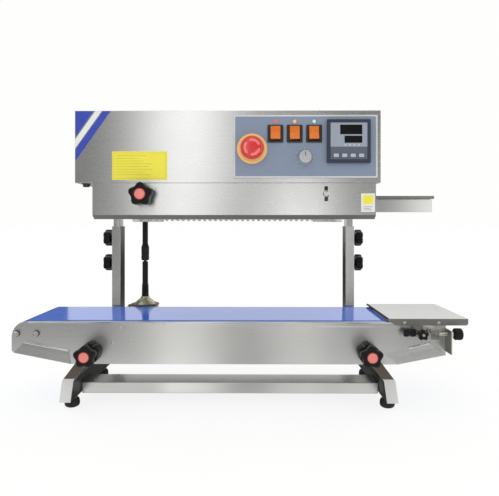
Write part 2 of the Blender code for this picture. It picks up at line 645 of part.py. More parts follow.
# ---------------------------------------------------------------- head structure
def head_frame():
    """Base plate of the head with its two sliding columns and the rear band guard."""
    bottom = HEAD_BOTTOM + 0.2
    frame = box("head_frame", (HEAD_LEFT + SHEET + GAP, HEAD_FRONT_Y + SHEET + GAP, bottom),
                (HEAD_RIGHT - SHEET - GAP, HEAD_REAR_Y - SHEET - GAP, bottom + PLATE_THICKNESS),
                "stainless")
    for side, sign in SIDES:
        inset = COLUMN_WALL + COLUMN_PLAY
        xs = sorted((STAND_MIDDLE_X + sign * (COLUMN_OUTER_X - inset),
                     STAND_MIDDLE_X + sign * (COLUMN_OUTER_X - COLUMN_WIDTH + inset)))
        join(frame, box(f"{side}_inner_column_blank",
                        (xs[0], COLUMN_FRONT_Y + inset, INNER_COLUMN_BOTTOM),
                        (xs[1], COLUMN_FRONT_Y + COLUMN_DEPTH - inset, INNER_COLUMN_TOP)))
    left = COVER_LEFT + 2.0
    right = COVER_RIGHT - 2.0
    front = SKIRT_FRONT_Y
    guard = [(left, front), (left + SHEET, front), (left + SHEET, SKIRT_REAR_Y - SHEET),
             (right - SHEET, SKIRT_REAR_Y - SHEET), (right - SHEET, front), (right, front),
             (right, SKIRT_REAR_Y), (left, SKIRT_REAR_Y)]
    join(frame, outline("rear_guard_blank", [guard], "XY", SKIRT_BOTTOM, bottom + 1.0))
    cut(frame, cylinder("shaft_clearance", (DRIVE_X, SHAFT_Y, bottom - 2.0), (0, 0, 1),
                        UPPER_TUBE_RADIUS + 1.2, 8.0))


def head_casing():
    casing = box("head_casing", (HEAD_LEFT, HEAD_FRONT_Y, HEAD_BOTTOM),
                 (HEAD_RIGHT, HEAD_REAR_Y - SHEET - GAP, HEAD_TOP), "stainless")
    hollow = box("casing_hollow", (HEAD_LEFT + SHEET, HEAD_FRONT_Y + SHEET, HEAD_BOTTOM - 5.0),
                 (HEAD_RIGHT - SHEET, HEAD_REAR_Y + 5.0, HEAD_TOP - SHEET))
    window = box("control_window", (PANEL_X[0] + 7.0, HEAD_FRONT_Y - 3.0, PANEL_Z[0] + 14.0),
                 (PANEL_X[1] - 10.0, HEAD_FRONT_Y + 4.0, PANEL_Z[1] - 7.5))
    cut(casing, hollow, window)


def head_rear_panel():
    """Rear cover with ventilation slots and the socket for the mains lead."""
    panel = box("head_rear_panel", (HEAD_LEFT, HEAD_REAR_Y - SHEET, HEAD_BOTTOM),
                (HEAD_RIGHT, HEAD_REAR_Y, HEAD_TOP), "stainless")
    inlet = box("inlet_blank", (-232.0, HEAD_REAR_Y - 12.0, 416.0), (-204.0, HEAD_REAR_Y - 0.2, 436.0))
    rim = box("inlet_rim_blank", (-235.0, HEAD_REAR_Y - 0.6, 413.0), (-201.0, INLET_REAR_Y, 439.0))
    socket = box("inlet_socket", (-229.0, HEAD_REAR_Y - 9.0, 419.0), (-207.0, INLET_REAR_Y + 5.0, 433.0))
    join(panel, inlet, rim)
    cut(panel, socket)
    for i in range(8):
        x = 60.0 + 16.0 * i
        cut(panel, box(f"vent_{i}", (x, HEAD_REAR_Y - 5.0, 430.0), (x + 6.0, HEAD_REAR_Y + 5.0, 500.0)))


def safety_cover():
    """Hinged band cover: folded front with a turned-back lower edge and two side flanges."""
    front = HEAD_FRONT_Y
    inner = front + SHEET
    hinge = (0.0, front, COVER_TOP)
    side = [(front, COVER_TOP), (front, COVER_BEND), (front + COVER_FOLD, COVER_BOTTOM),
            (COVER_SIDE_REAR_Y, COVER_BOTTOM + 8.0), (COVER_SIDE_REAR_Y, COVER_TOP)]
    fold_end = front + COVER_FOLD + SHEET
    hollow = [(inner, COVER_TOP + 5.0), (inner, COVER_BEND + 0.4), (fold_end, COVER_BOTTOM + 0.4),
              (fold_end, COVER_BOTTOM - 8.0), (COVER_SIDE_REAR_Y + 5.0, COVER_BOTTOM - 8.0),
              (COVER_SIDE_REAR_Y + 5.0, COVER_TOP + 5.0)]
    cover = outline("safety_cover", [side], "YZ", COVER_LEFT, COVER_RIGHT, "stainless", at=hinge)
    cut(cover,
        outline("cover_hollow", [hollow], "YZ", COVER_LEFT + SHEET, COVER_RIGHT - SHEET),
        box("cover_slot", (COVER_SLOT[0], front - 4.0, COVER_SLOT[2]),
            (COVER_SLOT[1], front + 4.0, COVER_SLOT[3])),
        cylinder("cover_knob_hole", (COVER_KNOB[0], front - 4.0, COVER_KNOB[1]), (0, 1, 0),
                 KNOB_HOLE_RADIUS, 8.0, segments=16))


def guide_plates():
    """Two plates that lead the mouth of a bag in along the sealing line."""
    tab_right = GUIDE_PLATE_LEFT + 24.0
    flange_left = COVER_RIGHT + 3.0
    shape = [(GUIDE_PLATE_LEFT, GUIDE_PLATE_BOTTOM), (GUIDE_PLATE_RIGHT, GUIDE_PLATE_BOTTOM),
             (GUIDE_PLATE_RIGHT, GUIDE_PLATE_TOP), (tab_right, GUIDE_PLATE_TOP),
             (tab_right, HEAD_BOTTOM - 0.1), (GUIDE_PLATE_LEFT, HEAD_BOTTOM - 0.1)]
    for side, sign in ENDS:
        near = SEAL_Y + sign * GUIDE_PLATE_OFFSET_Y
        ys = sorted((near, near + sign * SHEET))
        plate = outline(f"{side}_guide_plate", [shape], "XZ", ys[0], ys[1], "stainless")
        flange_ys = sorted((near, near + sign * 12.5))
        join(plate, box(f"{side}_guide_flange", (flange_left, flange_ys[0], GUIDE_PLATE_TOP - SHEET),
                        (GUIDE_PLATE_RIGHT, flange_ys[1], GUIDE_PLATE_TOP)))


# ---------------------------------------------------------------- sealing drive
def sealing_drive():
    top = HEAD_BOTTOM - 0.1
    base = GUIDE_BELT_BOTTOM - 1.0
    for side, sign in ENDS:
        middle = SEAL_Y + sign * WHEEL_OFFSET_Y
        for end, x in (("infeed", WHEEL_RIGHT_X), ("outfeed", WHEEL_LEFT_X)):
            turned(f"{side}_{end}_wheel", (x, middle, base), (0, 0, 1), [
                (0.0, top - base), (6.0, top - base), (6.0, BAND_TOP + 1.0 - base),
                (BAND_RADIUS - BAND_THICKNESS - GAP, BAND_TOP + 1.0 - base),
                (BAND_RADIUS - BAND_THICKNESS - GAP, BAND_BOTTOM - 1.0 - base),
                (10.0, BAND_BOTTOM - 3.0 - base), (10.0, GUIDE_BELT_TOP + 2.0 - base),
                (GUIDE_BELT_RADIUS - GUIDE_BELT_THICKNESS - GAP, GUIDE_BELT_TOP + 1.0 - base),
                (GUIDE_BELT_RADIUS - GUIDE_BELT_THICKNESS - GAP, 0.0), (0.0, 0.0)],
                "aluminium")
        outline(f"{side}_seal_band", [
            loop_outline(WHEEL_LEFT_X, WHEEL_RIGHT_X, middle, BAND_RADIUS, 14),
            loop_outline(WHEEL_LEFT_X, WHEEL_RIGHT_X, middle, BAND_RADIUS - BAND_THICKNESS, 14)],
            "XY", BAND_BOTTOM, BAND_TOP, "band_brown")
        outline(f"{side}_guide_belt", [
            loop_outline(WHEEL_LEFT_X, WHEEL_RIGHT_X, middle, GUIDE_BELT_RADIUS, 14),
            loop_outline(WHEEL_LEFT_X, WHEEL_RIGHT_X, middle, GUIDE_BELT_RADIUS - GUIDE_BELT_THICKNESS, 14)],
            "XY", GUIDE_BELT_BOTTOM, GUIDE_BELT_TOP, "guide_belt_white")
        reach = WHEEL_OFFSET_Y - BAND_RADIUS + BAND_THICKNESS + GAP
        press_centre = (PRESS_WHEEL_X, SEAL_Y + sign * (reach + PRESS_WHEEL_RADIUS), PRESS_WHEEL_BOTTOM)
        spindle = top - PRESS_WHEEL_BOTTOM
        turned(f"{side}_press_wheel", press_centre, (0, 0, 1), [
            (0.0, spindle), (4.0, spindle), (4.0, 18.0), (PRESS_WHEEL_RADIUS, 18.0),
            (PRESS_WHEEL_RADIUS, 2.0), (4.0, 2.0), (4.0, 0.0), (0.0, 0.0)], "silicone")
        heat_and_cool_bar(side, sign, reach)


def heat_and_cool_bar(side, sign, reach):
    """Carrier with the heating block and, downstream of it, the ribbed cooling block."""
    def across(near, far):
        return sorted((SEAL_Y + sign * near, SEAL_Y + sign * far))

    ys = across(reach, reach + 14.0)
    bar = box(f"{side}_heat_and_cool_bar", (45.0, ys[0], BAND_BOTTOM + 1.0),
              (135.0, ys[1], BAND_TOP - 1.0), "aluminium")
    cooler = box(f"{side}_cooling_block", (-60.0, ys[0], BAND_BOTTOM + 1.0), (25.0, ys[1], BAND_TOP - 1.0))
    spine_ys = across(reach + 13.0, reach + 22.0)
    spine = box(f"{side}_carrier", (-65.0, spine_ys[0], BAND_BOTTOM + 4.0),
                (140.0, spine_ys[1], BAND_TOP - 4.0))
    join(bar, spine, cooler)
    for x in (-30.0, 90.0):
        join(bar, cylinder(f"{side}_hanger_{int(x)}", (x, sum(spine_ys) / 2, BAND_TOP - 5.0), (0, 0, 1),
                           4.5, HEAD_BOTTOM - 0.1 - BAND_TOP + 5.0, segments=12))


def gear_motor():
    """Motor on its reduction gearbox, over the telescopic shaft."""
    motor = box("gear_motor", (DRIVE_X - 38.0, 152.0, HEAD_BOTTOM + 0.2 + PLATE_THICKNESS + GAP),
                (DRIVE_X + 38.0, 224.0, 444.0), "dull_steel")
    join(motor, cylinder("motor_blank", (DRIVE_X, SHAFT_Y - 2.0, 443.0), (0, 0, 1), 33.0, 74.0,
                         segments=28))
    cut(motor, cylinder("gearbox_bore", (DRIVE_X, SHAFT_Y, 400.0), (0, 0, 1),
                        UPPER_TUBE_RADIUS + 0.7, 26.0))


def upper_drive_shaft():
    """Upper half of the telescopic shaft: a tube with a sleeve at its lower end."""
    shaft = turned("upper_drive_shaft", (DRIVE_X, SHAFT_Y, UPPER_SHAFT_BOTTOM), (0, 0, 1), [
        (0.0, 168.0), (UPPER_TUBE_RADIUS, 168.0), (UPPER_TUBE_RADIUS, 36.0), (8.0, 33.0), (8.5, 30.0),
        (8.5, 4.0), (7.4, 0.0), (0.0, 0.0)], "black_steel")
    cut(shaft, cylinder("shaft_tube_bore", (DRIVE_X, SHAFT_Y, UPPER_SHAFT_BOTTOM - 2.0), (0, 0, 1),
                        ROD_RADIUS + 0.5, 140.0, segments=16))


# ---------------------------------------------------------------- controls
def control_panel():
    panel = box("control_panel", (PANEL_X[0], PANEL_FACE_Y, PANEL_Z[0]),
                (PANEL_X[1], PANEL_FACE_Y + PANEL, PANEL_Z[1]), "panel_grey")
    front = PANEL_FACE_Y - 3.0
    cut(panel,
        cylinder("estop_hole", (ESTOP[0], front, ESTOP[1]), (0, 1, 0),
                 ESTOP_STEM_RADIUS + 1.0, 8.0, segments=20),
        cylinder("speed_hole", (SPEED_KNOB[0], front, SPEED_KNOB[1]), (0, 1, 0), 3.6, 8.0, segments=16))
    half = CONTROLLER_SIZE / 2 - 2.0
    cut(panel, box("controller_hole", (CONTROLLER[0] - half, front, CONTROLLER[1] - half),
                   (CONTROLLER[0] + half, front + 8.0, CONTROLLER[1] + half)))
    for i, x in enumerate(ROCKER_X):
        reach = ROCKER_WIDTH / 2 + 0.6
        cut(panel, box(f"rocker_hole_{i}", (x - reach, front, ROCKER_Z - ROCKER_HALF_HEIGHT - 2.0),
                       (x + reach, front + 8.0, ROCKER_Z + ROCKER_HALF_HEIGHT + 2.0)))


def emergency_stop():
    seat = PANEL_FACE_Y - GAP
    collar = turned("estop_collar", (ESTOP[0], seat, ESTOP[1]), (0, -1, 0), [
        (0.0, COLLAR_HEIGHT), (COLLAR_RADIUS - 1.6, COLLAR_HEIGHT), (COLLAR_RADIUS, COLLAR_HEIGHT - 1.4),
        (COLLAR_RADIUS, 0.0), (0.0, 0.0)], "estop_yellow")
    cut(collar, cylinder("collar_hole", (ESTOP[0], seat + 2.0, ESTOP[1]), (0, -1, 0),
                         ESTOP_STEM_RADIUS + 0.7, 10.0))
    turned("estop_button", (ESTOP[0], PANEL_FACE_Y + 12.0, ESTOP[1]), (0, -1, 0), [
        (0.0, 34.0), (12.0, 33.5), (17.4, 32.0), (19.4, 29.4), (19.4, 26.4), (17.4, 23.4),
        (12.0, 21.0), (ESTOP_STEM_RADIUS, 20.2), (ESTOP_STEM_RADIUS, 0.0), (0.0, 0.0)], "estop_red")


def rocker_switches():
    """Rockers with a hollow V face, each resting with its upper half pressed."""
    tilt = math.radians(ROCKER_TILT)
    for name, x in zip(("power", "fan", "heater"), ROCKER_X):
        tall = ROCKER_HALF_HEIGHT
        profile = [(-11.0, -tall), (-9.0, 0.0), (-11.0, tall), (-4.0, tall - 1.0), (3.0, 5.0),
                   (3.0, -5.0), (-4.0, 1.0 - tall)]
        half = ROCKER_WIDTH / 2
        rocker = outline(f"{name}_rocker", [profile], "YZ", -half, half, "rocker_orange")
        rocker.data.transform(Matrix.Rotation(-tilt, 4, "X"))
        rocker.location = Vector((x, ROCKER_PIVOT_Y, ROCKER_Z)) * MM


def speed_knob():
    turned("speed_knob", (SPEED_KNOB[0], PANEL_FACE_Y - 0.4, SPEED_KNOB[1]), (0, -1, 0), [
        (0.0, 15.0), (9.6, 15.0), (10.6, 14.0), (11.2, 3.0), (12.1, 2.6), (12.1, 0.0), (3.0, 0.0),
        (3.0, -9.0), (0.0, -9.0)], "nickel", 28)


def temperature_controller():
    x, z = CONTROLLER
    half = CONTROLLER_SIZE / 2
    face = PANEL_FACE_Y - 7.5
    unit = box("temperature_controller", (x - half, face, z - half), (x + half, PANEL_FACE_Y - GAP, z + half),
               "controller_blue")
    inner = half - 2.6
    body = box("controller_body", (x - inner, PANEL_FACE_Y - 2.0, z - inner), (x + inner, 14.0, z + inner))
    window = half - 5.0
    recess = box("controller_face", (x - window, face - 3.0, z - window),
                 (x + window, face + 1.2, z + window))
    join(unit, body)
    cut(unit, recess)
    wide = KEY_WIDTH / 2
    high = KEY_HEIGHT / 2
    for i, dx in enumerate(KEY_OFFSETS):
        cut(unit, box(f"key_pocket_{i}", (x + dx - wide - KEY_PLAY, face - 1.0, KEY_Z - high - KEY_PLAY),
                      (x + dx + wide + KEY_PLAY, face + 4.6, KEY_Z + high + KEY_PLAY)))
        box(f"controller_key_{i + 1}", (x + dx - wide, face + 0.2, KEY_Z - high),
            (x + dx + wide, face + 3.2, KEY_Z + high), "key_grey", at=(x + dx, face + 3.2, KEY_Z))


# ---------------------------------------------------------------- build
clear_scene()
PARTS = make_collection("continuous_band_sealer")
CUTTERS = make_collection("cutters")
MACHINE = bpy.data.objects.new("machine_frame", None)
MACHINE.location = (-ORIGIN_X * MM, -ORIGIN_Y * MM, 0.0)
PARTS.objects.link(MACHINE)

conveyor_frame()
conveyor_belt()
rollers()
gear_housing()
lower_drive_shaft()
infeed_tray()
tray_knobs()
belt_tension()
stand()
clamp_knobs()
outer_columns()
head_frame()
head_casing()
head_rear_panel()
safety_cover()
star_knob("cover_knob", (COVER_KNOB[0], HEAD_FRONT_Y - GAP, COVER_KNOB[1]), (0, -1, 0), KNOB_RADIUS,
          34.0, 16.0, turn=LOBE_UP)
guide_plates()
sealing_drive()
gear_motor()
upper_drive_shaft()
control_panel()
emergency_stop()
rocker_switches()
speed_knob()
temperature_controller()
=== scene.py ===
"""Looks of the bench-top continuous band sealer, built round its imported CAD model.

Shapes are given in millimetres in the machine frame: +X to the operator's right, +Y away from
the operator, +Z up, with Y = 0 on the front face of the conveyor.  finish_piece() moves them to
metres in the CAD model's frame.
"""

import json
import math

import bmesh
import bpy
from mathutils import Matrix, Vector

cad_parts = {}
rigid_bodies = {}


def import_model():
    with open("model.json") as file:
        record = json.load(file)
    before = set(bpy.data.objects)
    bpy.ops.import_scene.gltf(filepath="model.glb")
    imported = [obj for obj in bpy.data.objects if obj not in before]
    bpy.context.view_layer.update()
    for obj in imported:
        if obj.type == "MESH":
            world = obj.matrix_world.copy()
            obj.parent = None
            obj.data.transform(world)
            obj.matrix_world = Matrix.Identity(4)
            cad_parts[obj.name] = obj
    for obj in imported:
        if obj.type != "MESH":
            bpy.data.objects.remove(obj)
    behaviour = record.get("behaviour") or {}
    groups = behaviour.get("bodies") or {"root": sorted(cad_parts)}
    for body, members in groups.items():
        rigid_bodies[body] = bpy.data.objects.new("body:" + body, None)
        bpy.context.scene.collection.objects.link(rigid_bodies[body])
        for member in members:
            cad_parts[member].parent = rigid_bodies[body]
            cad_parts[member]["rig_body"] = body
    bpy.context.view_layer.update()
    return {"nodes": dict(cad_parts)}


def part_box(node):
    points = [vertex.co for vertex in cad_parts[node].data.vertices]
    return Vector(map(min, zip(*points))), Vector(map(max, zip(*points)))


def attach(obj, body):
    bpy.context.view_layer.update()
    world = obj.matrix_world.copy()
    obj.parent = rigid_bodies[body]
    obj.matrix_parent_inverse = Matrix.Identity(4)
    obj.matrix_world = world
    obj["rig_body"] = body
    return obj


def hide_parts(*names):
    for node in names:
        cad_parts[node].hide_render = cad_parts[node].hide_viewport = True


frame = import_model()

MM = 0.001
scene = bpy.context.scene

# The machine frame's origin, from the conveyor's left end and rear face.
CONVEYOR_LEFT, CONVEYOR_DEPTH = -397.0, 164.0
conveyor_low, conveyor_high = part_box("conveyor_frame")
MACHINE_ORIGIN = Vector((conveyor_low.x - CONVEYOR_LEFT * MM, conveyor_high.y - CONVEYOR_DEPTH * MM, 0.0))
TO_ROW = Matrix.Translation(MACHINE_ORIGIN) @ Matrix.Scale(MM, 4)


def machine_box(node):
    """A CAD node's lowest and highest corner in machine millimetres."""
    low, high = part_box(node)
    return (low - MACHINE_ORIGIN) / MM, (high - MACHINE_ORIGIN) / MM


# ------------------------------------------------------------------------------- materials
EVEN = (1.0, 1.0, 1.0)


def feed(tree, inputs, values):
    """Sets inputs to constants, or links them to other nodes' outputs."""
    for key, value in values.items():
        socket = inputs[key]
        if isinstance(value, bpy.types.NodeSocket):
            tree.links.new(value, socket)
        elif socket.type == "RGBA":
            socket.default_value = (*value, 1.0)
        else:
            socket.default_value = value


def add_node(tree, kind, values, output=0, **settings):
    """A node with its settings and inputs; gives back one of its outputs."""
    node = tree.nodes.new(f"ShaderNode{kind}")
    for key, value in settings.items():
        setattr(node, key, value)
    feed(tree, node.inputs, values)
    return node.outputs[output]


def noise(tree, stretch=EVEN, scale=1.0, detail=3.0, roughness=0.55):
    """Noise over the object's own coordinates in metres, scaled along each axis."""
    place = add_node(tree, "TexCoord", {}, "Object")
    place = add_node(tree, "Mapping", {"Vector": place, "Scale": stretch})
    return add_node(tree, "TexNoise", {
        "Vector": place, "Scale": scale, "Detail": detail, "Roughness": roughness}, "Fac")


def math_node(tree, operation, first, second, clamp=False):
    return add_node(tree, "Math", {0: first, 1: second}, operation=operation, use_clamp=clamp)


def remap(tree, value, low=0.0, high=1.0, from_low=0.3, from_high=0.7):
    return add_node(tree, "MapRange", {
        "Value": value, "From Min": from_low, "From Max": from_high, "To Min": low, "To Max": high}, "Result")


def mix_colour(tree, factor, first, second):
    return add_node(tree, "Mix", {"Factor": factor, 6: first, 7: second}, 2, data_type="RGBA")


def mix_value(tree, factor, first, second):
    return add_node(tree, "Mix", {"Factor": factor, 2: first, 3: second}, data_type="FLOAT")


def shade(colour, share, lift=0.0):
    """A colour made darker or lighter."""
    return tuple(min(1.0, c * share + lift) for c in colour)


def painted_edge_highlight(tree, tone, colour, radius, gain, highlight_share):
    """A tone with another colour on its outer edges, used as a painted highlight there."""
    rounded = add_node(tree, "Bevel", {"Radius": radius}, samples=4)
    flat = add_node(tree, "NewGeometry", {}, "Normal")
    dot = add_node(tree, "VectorMath", {0: rounded, 1: flat}, "Value", operation="DOT_PRODUCT")
    edge = math_node(tree, "MULTIPLY", math_node(tree, "SUBTRACT", 1.0, dot), gain, clamp=True)
    return mix_colour(tree, math_node(tree, "MULTIPLY", edge, highlight_share), tone, colour)


def bump(tree, height, strength, distance):
    return add_node(tree, "Bump", {"Height": height, "Strength": strength, "Distance": distance})


def axis_share(tree, axis):
    """1 where the surface faces along an axis."""
    facing = add_node(tree, "NewGeometry", {}, "True Normal")
    part = add_node(tree, "SeparateXYZ", {"Vector": facing}, axis)
    return math_node(tree, "GREATER_THAN", math_node(tree, "ABSOLUTE", part, 0.0), 0.75)


def new_material(name):
    """A node material and its tree."""
    material = bpy.data.materials.new(name)
    material.use_nodes = True
    return material, material.node_tree


def finish_shader(tree, values):
    """Feeds the sockets of a material's own shader."""
    feed(tree, tree.nodes["Principled BSDF"].inputs, values)


def brushed_steel(name, along, colour, rough=0.30, spread=0.0):
    """Stainless sheet with hairlines along one axis, faint blotches and a painted highlight on its edges.

    spread pulls reflections out across horizontal hairlines, as real brushing does.
    """
    material, tree = new_material(name)
    fine, coarse, short = 4200.0, 1100.0, 7.0
    axis = "XYZ".index(along)
    side_axis = {"X": 1, "Y": 0, "Z": 1}[along]
    stretch = [short if i == axis else fine for i in range(3)]
    across = [short if i == side_axis else fine for i in range(3)]
    wide = [3.0 if i == axis else coarse for i in range(3)]
    hairlines = mix_value(tree, axis_share(tree, axis), noise(tree, stretch, detail=2.0),
                          noise(tree, across, detail=2.0))
    bands = noise(tree, wide, detail=2.0)
    blotches = noise(tree, scale=11.0, detail=4.0)
    smudges = noise(tree, scale=18.0, detail=5.0, roughness=0.6)
    tone = mix_colour(tree, remap(tree, hairlines), shade(colour, 0.978), shade(colour, 1.016))
    tone = mix_colour(tree, remap(tree, bands, 0.0, 0.30), tone, shade(colour, 0.965))
    tone = mix_colour(tree, remap(tree, blotches, 0.0, 0.30), tone, shade(colour, 0.95))
    gloss = remap(tree, hairlines, rough - 0.008, rough + 0.012)
    finish_shader(tree, {
        "Base Color": painted_edge_highlight(tree, tone, shade(colour, 1.35), 0.0009, 2.2, 0.35),
        "Roughness": math_node(tree, "ADD", gloss, remap(tree, smudges, -0.008, 0.014)),
        "Normal": bump(tree, hairlines, 0.02, 0.000006), "Metallic": 1.0})
    if spread:
        tangent = add_node(tree, "Tangent", {}, direction_type="RADIAL", axis="Z")
        finish_shader(tree, {"Anisotropic": spread, "Anisotropic Rotation": 0.25, "Tangent": tangent})
    return material


def turned_metal(name, colour, rough=0.25, fleck=1500.0, depth=0.00003):
    """Machined, plated or cast metal with a fine grain and a painted highlight on its edges."""
    material, tree = new_material(name)
    grain = noise(tree, scale=fleck, detail=3.0)
    stain = noise(tree, scale=70.0, detail=5.0, roughness=0.6)
    tone = mix_colour(tree, remap(tree, grain), shade(colour, 0.86), colour)
    tone = mix_colour(tree, remap(tree, stain, 0.0, 0.5), tone, shade(colour, 0.80))
    finish_shader(tree, {
        "Base Color": painted_edge_highlight(tree, tone, shade(colour, 1.4), 0.0006, 2.0, 0.4),
        "Roughness": remap(tree, stain, rough - 0.06, rough + 0.10),
        "Normal": bump(tree, grain, 0.12, depth), "Metallic": 1.0})
    return material


def moulded(name, colour, rough=0.4, texture=900.0, depth=0.00006, highlight_share=0.25, specular=0.5, coat=0.0):
    """Moulded plastic or rubber: fine surface texture, uneven gloss and paler edges, a painted highlight."""
    material, tree = new_material(name)
    grain = noise(tree, scale=texture, detail=4.0)
    cloud = noise(tree, scale=60.0, detail=4.0, roughness=0.6)
    tone = mix_colour(tree, remap(tree, grain), shade(colour, 0.88), colour)
    tone = mix_colour(tree, remap(tree, cloud, 0.0, 0.4), tone, shade(colour, 0.85))
    finish_shader(tree, {
        "Base Color": painted_edge_highlight(tree, tone, shade(colour, 1.3, 0.05), 0.0007, 1.6, highlight_share),
        "Roughness": remap(tree, cloud, rough - 0.06, rough + 0.08),
        "Normal": bump(tree, grain, 0.15, depth), "Specular IOR Level": specular})
    if coat:
        finish_shader(tree, {"Coat Weight": coat, "Coat Roughness": 0.06})
    return material


def lit_plastic(name, colour, glow, rough=0.2):
    """Tinted clear plastic with a little light behind it."""
    material, tree = new_material(name)
    cloud = noise(tree, scale=180.0, detail=3.0)
    tone = mix_colour(tree, remap(tree, cloud), shade(colour, 0.86), colour)
    finish_shader(tree, {
        "Base Color": tone, "Emission Color": tone, "Emission Strength": glow, "Coat Weight": 0.15,
        "Roughness": remap(tree, cloud, rough - 0.04, rough + 0.06),
        "Normal": bump(tree, cloud, 0.1, 0.00005)})
    return material


def belt_blue():
    """Glossy blue conveyor belting with faint lengthwise scuffs."""
    material, tree = new_material("belt_blue")
    scuffs = noise(tree, (4.0, 260.0, 260.0), detail=3.0)
    weave = noise(tree, scale=1300.0, detail=2.0)
    cloud = noise(tree, scale=14.0, detail=4.0)
    tone = mix_colour(tree, remap(tree, cloud), (0.052, 0.185, 0.84), (0.064, 0.215, 0.92))
    tone = mix_colour(tree, remap(tree, scuffs, 0.0, 0.25, 0.55, 0.8), tone, (0.11, 0.26, 0.92))
    gloss = math_node(tree, "ADD", remap(tree, scuffs, 0.07, 0.14), remap(tree, cloud, 0.0, 0.03))
    finish_shader(tree, {
        "Base Color": tone, "Roughness": gloss, "Normal": bump(tree, weave, 0.02, 0.00001), "IOR": 1.56})
    return material


def pale_floor():
    """A pale light table, so that shadows on it stay soft."""
    material, tree = new_material("pale_floor")
    cloud = noise(tree, scale=1.5, detail=3.0)
    tone = mix_colour(tree, remap(tree, cloud), (0.165, 0.165, 0.163), (0.18, 0.18, 0.178))
    finish_shader(tree, {
        "Base Color": tone, "Roughness": 0.9, "Specular IOR Level": 0.0,
        "Emission Color": (1.0, 1.0, 0.995), "Emission Strength": 0.84})
    return material


STEEL = (0.68, 0.68, 0.67)
HEAD_STEEL = brushed_steel("head_steel", "X", STEEL, 0.27, spread=0.6)
COVER_STEEL = brushed_steel("cover_steel", "X", STEEL, 0.27, spread=0.6)
CONVEYOR_STEEL = brushed_steel("conveyor_steel", "X", (0.64, 0.64, 0.62), 0.28, spread=0.5)
LEG_STEEL = brushed_steel("leg_steel", "Z", (0.61, 0.61, 0.60), 0.26)
BAR_STEEL = brushed_steel("crossbar_steel", "X", (0.60, 0.60, 0.58), 0.28)
COLUMN_STEEL = brushed_steel("column_steel", "Z", (0.76, 0.76, 0.74), 0.20)
FRAME_STEEL = brushed_steel("frame_steel", "Z", (0.50, 0.50, 0.49), 0.36)
TRAY_STEEL = brushed_steel("tray_steel", "X", (0.62, 0.62, 0.60), 0.22)
GUIDE_STEEL = brushed_steel("guide_steel", "X", (0.64, 0.64, 0.62), 0.17)
SCREW_STEEL = turned_metal("screw_steel", (0.66, 0.66, 0.64), 0.22)
DULL_STEEL = turned_metal("dull_steel", (0.42, 0.42, 0.41), 0.42)
# Painted shade: the next three steels are darker copies of the stainless, for faces in shade or faces that
# would mirror dark surroundings.
SHADE_STEEL = brushed_steel("shade_steel", "Z", (0.055, 0.055, 0.050), 0.42)
EDGE_SHADE_STEEL = brushed_steel("edge_shade_steel", "X", (0.25, 0.245, 0.225), 0.45)
ARM_SHADE_STEEL = brushed_steel("arm_shade_steel", "Z", (0.125, 0.105, 0.09), 0.36)
DARK_STEEL = turned_metal("dark_steel", (0.10, 0.10, 0.10), 0.38)
NICKEL = turned_metal("nickel_plate", (0.72, 0.71, 0.68), 0.18)
SILVER = turned_metal("silver_knob", (0.70, 0.71, 0.72), 0.28)
ZINC = turned_metal("cast_zinc", (0.60, 0.58, 0.42), 0.42, fleck=520.0, depth=0.00025)
# Painted shade: a darker copy of the cast zinc.
SHADED_ZINC = turned_metal("shaded_zinc", (0.16, 0.15, 0.11), 0.50)
PLATED_ROD = turned_metal("plated_rod", (0.74, 0.70, 0.62), 0.24)
ALUMINIUM = turned_metal("aluminium", (0.70, 0.71, 0.72), 0.34)
BLACK_SHAFT = moulded("black_shaft", (0.010, 0.010, 0.011), 0.36, texture=700.0, specular=0.3)
BLACK_PLASTIC = moulded("black_plastic", (0.005, 0.0045, 0.0045), 0.36, texture=1100.0, specular=0.22,
                        highlight_share=0.12)
RUBBER = moulded("rubber", (0.012, 0.011, 0.011), 0.62, texture=600.0, depth=0.00012, specular=0.3)
# Painted reflection: the red cap as seen mirrored in the black knob round it.
CAP_REFLECTION = moulded("cap_reflection", (0.36, 0.022, 0.020), 0.40)
CAP_RED = moulded("cap_red", (0.80, 0.22, 0.19), 0.34, texture=400.0, coat=0.3)
PANEL_FILM = moulded("panel_film", (0.220, 0.272, 0.372), 0.48, texture=2200.0, highlight_share=0.1)
BORDER_SILVER = moulded("border_silver", (0.62, 0.63, 0.64), 0.40, texture=1500.0)
ESTOP_YELLOW = moulded("estop_yellow", (0.92, 0.55, 0.18), 0.38)
ESTOP_RED = moulded("estop_red", (0.66, 0.022, 0.018), 0.24, coat=0.5)
ESTOP_ARROW = moulded("estop_arrow", (0.86, 0.20, 0.19), 0.34)
BEZEL_BLACK = moulded("bezel_black", (0.020, 0.019, 0.018), 0.30, texture=800.0)
ROCKER_ORANGE = lit_plastic("rocker_orange", (0.66, 0.150, 0.008), 0.10)
LAMP_RED = lit_plastic("lamp_red", (0.72, 0.13, 0.15), 0.20)
LAMP_AMBER = lit_plastic("lamp_amber", (0.86, 0.50, 0.32), 0.20)
LAMP_GREEN = lit_plastic("lamp_green", (0.42, 0.80, 0.66), 0.25)
CONTROLLER_NAVY = moulded("controller_navy", (0.022, 0.030, 0.055), 0.42, texture=1300.0)
CONTROLLER_FACE = moulded("controller_face", (0.30, 0.34, 0.41), 0.42, texture=1800.0, highlight_share=0.0)
CONTROLLER_LOWER = moulded("controller_lower", (0.095, 0.115, 0.160), 0.42, texture=1800.0, highlight_share=0.0)
DISPLAY_GLASS = moulded("display_glass", (0.006, 0.006, 0.006), 0.08, texture=300.0, depth=0.00001, highlight_share=0.0)
KEY_GREY = moulded("key_grey", (0.42, 0.46, 0.54), 0.50)
PRINT_WHITE = moulded("print_white", (0.80, 0.80, 0.78), 0.45, highlight_share=0.0)
PRINT_PALE = moulded("print_pale", (0.46, 0.49, 0.54), 0.45, highlight_share=0.0)
PRINT_DARK = moulded("print_dark", (0.05, 0.05, 0.05), 0.45, highlight_share=0.0)
